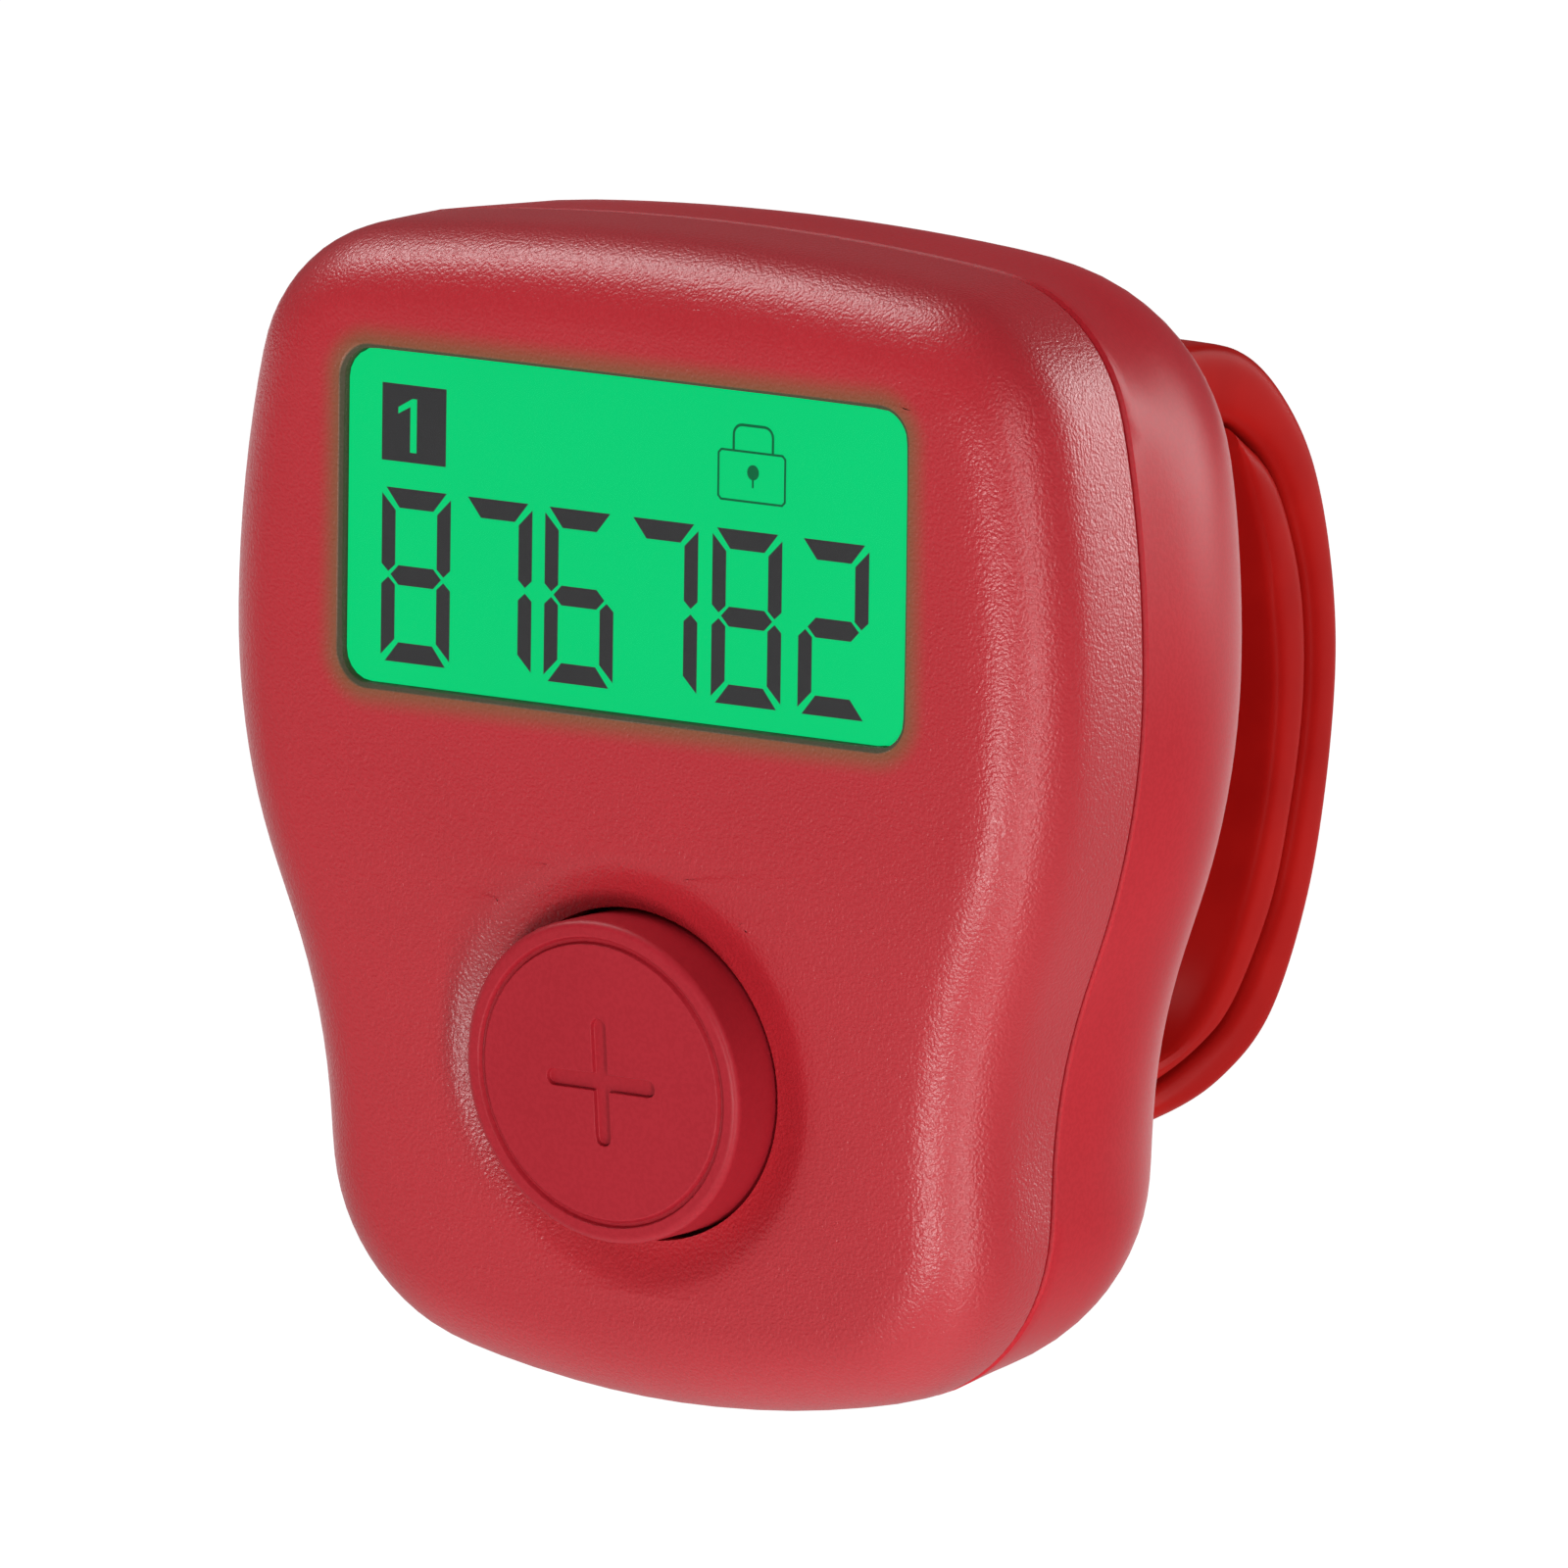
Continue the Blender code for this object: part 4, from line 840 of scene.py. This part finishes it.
    def line(self, points: Sequence[Point], closed: bool, width: float) -> bpy.types.Object:
        """Make a thin flat line along points.

        Args:
            points: Its (x, z) points on the panel.
            closed: Whether it returns to its start.
            width: Its width.

        Returns:
            The line.
        """
        data = bpy.data.curves.new("line", "CURVE")
        data.dimensions = "3D"
        data.bevel_depth = width / 2 * MM
        data.bevel_resolution = 1
        data.use_fill_caps = True
        spline = data.splines.new("POLY")
        spline.points.add(len(points) - 1)
        for knot, (x, z) in zip(spline.points, points):
            knot.co = (x * MM, 0.0, z * MM, 1.0)
        spline.use_cyclic_u = closed
        item = bpy.data.objects.new("line", data)
        bpy.context.scene.collection.objects.link(item)
        Bench.only(item)
        bpy.ops.object.convert(target="MESH")
        item = bpy.context.active_object
        item.scale = (1.0, self.line_flatness, 1.0)
        item.location = (0.0, self.ink_y * MM, 0.0)
        Bench.settle(item)
        return item

    def padlock(self, ink: bpy.types.Material) -> None:
        """Build the padlock sign.

        Args:
            ink: Its material.
        """
        wide, high = self.lock_size
        soft = 0.12
        body = [(soft, 0.0), (wide - soft, 0.0), (wide, soft), (wide, high - soft),
                (wide - soft, high), (soft, high), (0.0, high - soft), (0.0, soft)]
        left, right, top = 0.63, 2.29, 2.68
        bend, bend_steps = 0.36, 5
        turns = [math.pi / 2 * k / bend_steps for k in range(bend_steps + 1)]
        bow = [(left, high),
               *((left + bend * (1 - math.cos(a)), top - bend * (1 - math.sin(a)))
                 for a in turns),
               *((right - bend * (1 - math.sin(a)), top - bend * (1 - math.cos(a)))
                 for a in turns),
               (right, high)]
        key_x, key_z = 1.46, 1.04
        key_wide, key_high, key_steps = 0.25, 0.27, 20
        hole = [(key_x + key_wide * math.sin(2 * math.pi * k / key_steps),
                 key_z + key_high * math.cos(2 * math.pi * k / key_steps))
                for k in range(key_steps)]
        stem_top, stem_foot = 0.85, 0.5
        stem = [(key_x, stem_top), (key_x, stem_foot)]
        frame_line, stem_line = 0.1, 0.08
        at = self.lock_corner
        pieces = [self.line(self.placed(body, at), True, frame_line),
                  self.line(self.placed(bow, at), False, frame_line),
                  self.line(self.placed(stem, at), False, stem_line),
                  Bench.outline_plate(self.placed(hole, at), self.ink_y, self.ink_depth)]
        Bench.finish(Bench.joined(pieces), "padlock_sign", ink, "case", "black_resin")

    def build(self) -> None:
        """Build what the panel shows and dress the panel and its cover."""
        lit = FINISHES["display_glass"]
        self.digits(FINISHES["ink"])
        self.badge(FINISHES["ink"], lit)
        self.padlock(FINISHES["fine_ink"])
        for node in ("lcd_panel", "display_window", "display_frame", "light_guide",
                     "zebra_connector", "backlight_led_left", "backlight_led_right"):
            dress(node)


DISPLAY = Display()


def dress(node: str) -> None:
    """Give a CAD node the finish of its own material slot.

    Args:
        node: The node's name.
    """
    mesh = frame["nodes"][node].data
    mesh.materials.clear()
    mesh.materials.append(FINISHES[SLOTS[node]])
    LOG.info("%s: CAD solid in %s", node, SLOTS[node])


@dataclass
class Refined:
    """A group of CAD solids that are shown as smooth copies with softened edges.

    Attributes:
        body: The CAD body that they move with.
        nodes: Each solid's node, and how far its edges are rounded in millimetres.
        rounds: How many times curved faces are divided.
        crease_deg: Edges sharper than this stay edges.
    """

    body: str
    nodes: tuple[tuple[str, float], ...]
    rounds: int = 0
    crease_deg: float = 32.0

    def build(self) -> None:
        """Make, dress and place every copy."""
        for node, edge in self.nodes:
            item = Bench.refined(node, self.crease_deg, edge, self.rounds)
            Bench.finish(item, f"{node}_shown", FINISHES[SLOTS[node]], self.body, SLOTS[node])


@dataclass
class Studio:
    """The floor, the lights and the camera at the photograph's angle.

    The aim point, the camera's distance and the floor's height are in millimetres. The
    clip range, the floor's size, the glow's rise and the soft boxes are in metres.
    """

    azimuth_deg: float = 34.98
    elevation_deg: float = 9.197
    roll_deg: float = 0.719
    distance: float = 969.3
    focal_px: float = 28376.0
    frame_px: float = 1600.0
    aim_px: Point = (632.67, 558.72)
    aim_point: Place = (0.0, -16.5, 9.2)
    sensor: float = 36.0
    clip: Point = (0.05, 50.0)
    floor_z: float = -1000.0
    floor_size: float = 40.0
    sky_strength: float = 0.13
    floor_cloud_per_metre: float = 3.0
    floor_shades: Point = (0.92, 0.94)
    near_glow: float = 0.31
    far_glow: float = 0.95
    glow_way: Point = (0.57, 0.82)
    glow_rise: Point = (1.5, 4.5)
    boxes: tuple[tuple[str, Place, Point, float], ...] = (
        ("upper_left_box", (-0.50, -0.14, 0.72), (0.25, 0.5), 4.5),
        ("right_box", (0.72, -0.50, -0.15), (0.10, 1.30), 5.2),
        ("rear_box", (0.40, 0.75, 0.20), (0.30, 0.5), 4.2),
        ("front_box", (0.16, -0.87, -0.31), (0.20, 0.22), 3.6),
    )

    def camera(self) -> None:
        """Set the camera up."""
        a, e, r = (math.radians(v) for v in (self.azimuth_deg, self.elevation_deg,
                                             self.roll_deg))
        back = Vector((math.sin(a) * math.cos(e), -math.cos(a) * math.cos(e), math.sin(e)))
        right = Vector((math.cos(a), math.sin(a), 0.0))
        up = Vector((-math.sin(e) * math.sin(a), math.sin(e) * math.cos(a), math.cos(e)))
        right, up = (math.cos(r) * right + math.sin(r) * up,
                     math.cos(r) * up - math.sin(r) * right)
        # The camera turns until the aim point is seen at aim_px.
        centre = self.frame_px / 2
        ray = (-back * self.focal_px + right * (centre - self.aim_px[0])
               - up * (centre - self.aim_px[1])).normalized()
        side = ray.cross(up).normalized()
        top = side.cross(ray)
        turn = Matrix((side, top, -ray)).transposed().to_4x4()
        data = bpy.data.cameras.new("camera")
        data.sensor_width = self.sensor
        data.lens = self.focal_px * self.sensor / self.frame_px
        data.clip_start, data.clip_end = self.clip
        item = bpy.data.objects.new("camera", data)
        spot = (Vector(self.aim_point) + back * self.distance) * MM
        item.matrix_world = Matrix.Translation(spot) @ turn
        bpy.context.scene.collection.objects.link(item)
        bpy.context.scene.camera = item

    def lamp(self, name: str, spot: Place, size: Point, power: float) -> None:
        """Hang a soft box that faces the object.

        Args:
            name: Its name.
            spot: Its place, in metres.
            size: Its width and height, in metres.
            power: Its power in watts.
        """
        data = bpy.data.lights.new(name, "AREA")
        data.shape = "RECTANGLE"
        data.size, data.size_y = size
        data.energy = power
        item = bpy.data.objects.new(name, data)
        item.location = spot
        item.rotation_mode = "QUATERNION"
        item.rotation_quaternion = (-Vector(spot)).to_track_quat("-Z", "Y")
        bpy.context.scene.collection.objects.link(item)

    def build(self) -> None:
        """Set up the floor, the lights and the camera."""
        world = bpy.data.worlds.new("studio")
        world.use_nodes = True
        sky = world.node_tree.nodes["Background"]
        sky.inputs["Color"].default_value = (1.0, 1.0, 1.0, 1.0)
        sky.inputs["Strength"].default_value = self.sky_strength
        bpy.context.scene.world = world
        bpy.context.scene.view_settings.view_transform = "Standard"
        bpy.ops.object.select_all(action="DESELECT")
        bpy.ops.mesh.primitive_plane_add(size=self.floor_size,
                                         location=(0.0, 0.0, self.floor_z * MM))
        floor = bpy.context.active_object
        floor.name = "studio_floor"
        paint = Recipe("floor_paint", (0.95, 0.95, 0.95))
        cloud = paint.noise(self.floor_cloud_per_metre)
        x, y, _ = paint.axes()
        # From the photograph's angle only the floor behind the object is seen: it is white.
        behind = (self.glow_way[1] * y - self.glow_way[0] * x).fade(*self.glow_rise)
        glow = paint.mix(behind, (self.near_glow,) * 3, (self.far_glow,) * 3)
        shade = paint.mix(cloud, *((level,) * 3 for level in self.floor_shades))
        paint.principled(Base_Color=shade, Roughness=0.9, Emission_Color=glow,
                         Emission_Strength=1.0)
        floor.data.materials.append(paint.material)
        for name, spot, size, power in self.boxes:
            self.lamp(name, spot, size, power)
        self.camera()
        LOG.info("studio ready")


def finishes() -> None:
    """Build every finish and keep its material under the finish's name."""
    made: tuple[Finish, ...] = (
        GrainedPlastic(
            "front_plastic", (0.47, 0.018, 0.028), (0.42, 0.014, 0.022),
            grain_per_metre=8200.0, grain_height=0.000032, grain_strength=1.0,
            roughness=0.36, gloss=0.58, lens_glow=True),
        GrainedPlastic(
            "rear_plastic", (0.50, 0.020, 0.030), (0.42, 0.014, 0.022),
            grain_per_metre=6000.0, grain_height=0.000008, grain_strength=0.4,
            roughness=0.33, gloss=0.1),
        GrainedPlastic(
            "button_plastic", (0.40, 0.016, 0.027), (0.34, 0.011, 0.020),
            grain_per_metre=6500.0, grain_height=0.000008, grain_strength=0.4,
            roughness=0.42, gloss=0.2),
        SiliconeRubber(
            "strap_rubber", (0.45, 0.010, 0.008), (0.38, 0.007, 0.006),
            roughness=0.33, gloss=0.03),
        ClearCover("lens_clear"),
        LitDisplay("display_glass", (0.0, 0.655, 0.185), 1.0),
        DisplayInk("ink", (0.03, 0.028, 0.03), (0.012, 0.012, 0.012)),
        DisplayInk("fine_ink", (0.005, 0.05, 0.02), (0.0, 0.09, 0.03)),
        Moulded("frame_white", (0.8, 0.8, 0.78), 0.5),
        Moulded("guide_clear", (0.75, 0.88, 0.8), 0.15),
        Moulded("led_white", (0.85, 0.85, 0.7), 0.35),
        StripedRubber("connector_rubber", (0.5, 0.48, 0.5), (0.05, 0.05, 0.05)),
        SolderMask("board_green", (0.02, 0.16, 0.06), (0.05, 0.26, 0.09)),
        Moulded("black_resin", (0.018, 0.018, 0.02), 0.45),
        Moulded("tan_ceramic", (0.45, 0.33, 0.2), 0.5),
        Metal("bright_steel", (0.62, 0.62, 0.60), 0.28),
        Metal("spring_brass", (0.75, 0.55, 0.25), 0.3),
        Moulded("white_plastic", (0.78, 0.78, 0.76), 0.45),
    )
    for finish in made:
        FINISHES[finish.name] = finish.build()


def main() -> None:
    """Build the sub-assemblies in order."""
    logging.basicConfig(level=logging.INFO, format="%(name)s %(message)s")
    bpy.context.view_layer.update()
    finishes()
    plain_nodes = ("battery_door", "strap_pin_upper", "strap_pin_lower", "coin_cell",
                   "timing_crystal", "controller_chip", "case_screw_left",
                   "case_screw_right", "case_screw_lower", "board_screw_left",
                   "board_screw_right", "battery_door_screw", "cell_contact_negative")
    groups = (
        Refined("case", (("front_shell", 0.1), ("rear_shell", 0.08)), 1),
        Refined("count_key", (("count_button", 0.06),)),
        Refined("mode_key", (("mode_button", 0.0),)),
        Refined("outer_strap", (("strap_outer", 0.0),), 2),
        Refined("inner_strap", (("strap_inner", 0.0),), 2),
        Refined("case", tuple((node, 0.0) for node in plain_nodes)),
    )
    for group in groups:
        group.build()
    DISPLAY.build()
    for node in ("circuit_board", "filter_capacitor", "resistor_1", "resistor_2",
                 "count_switch", "count_switch_plunger", "mode_switch",
                 "mode_switch_plunger", "cell_contact_positive"):
        dress(node)
    Studio().build()


if __name__ == "__main__":
    main()
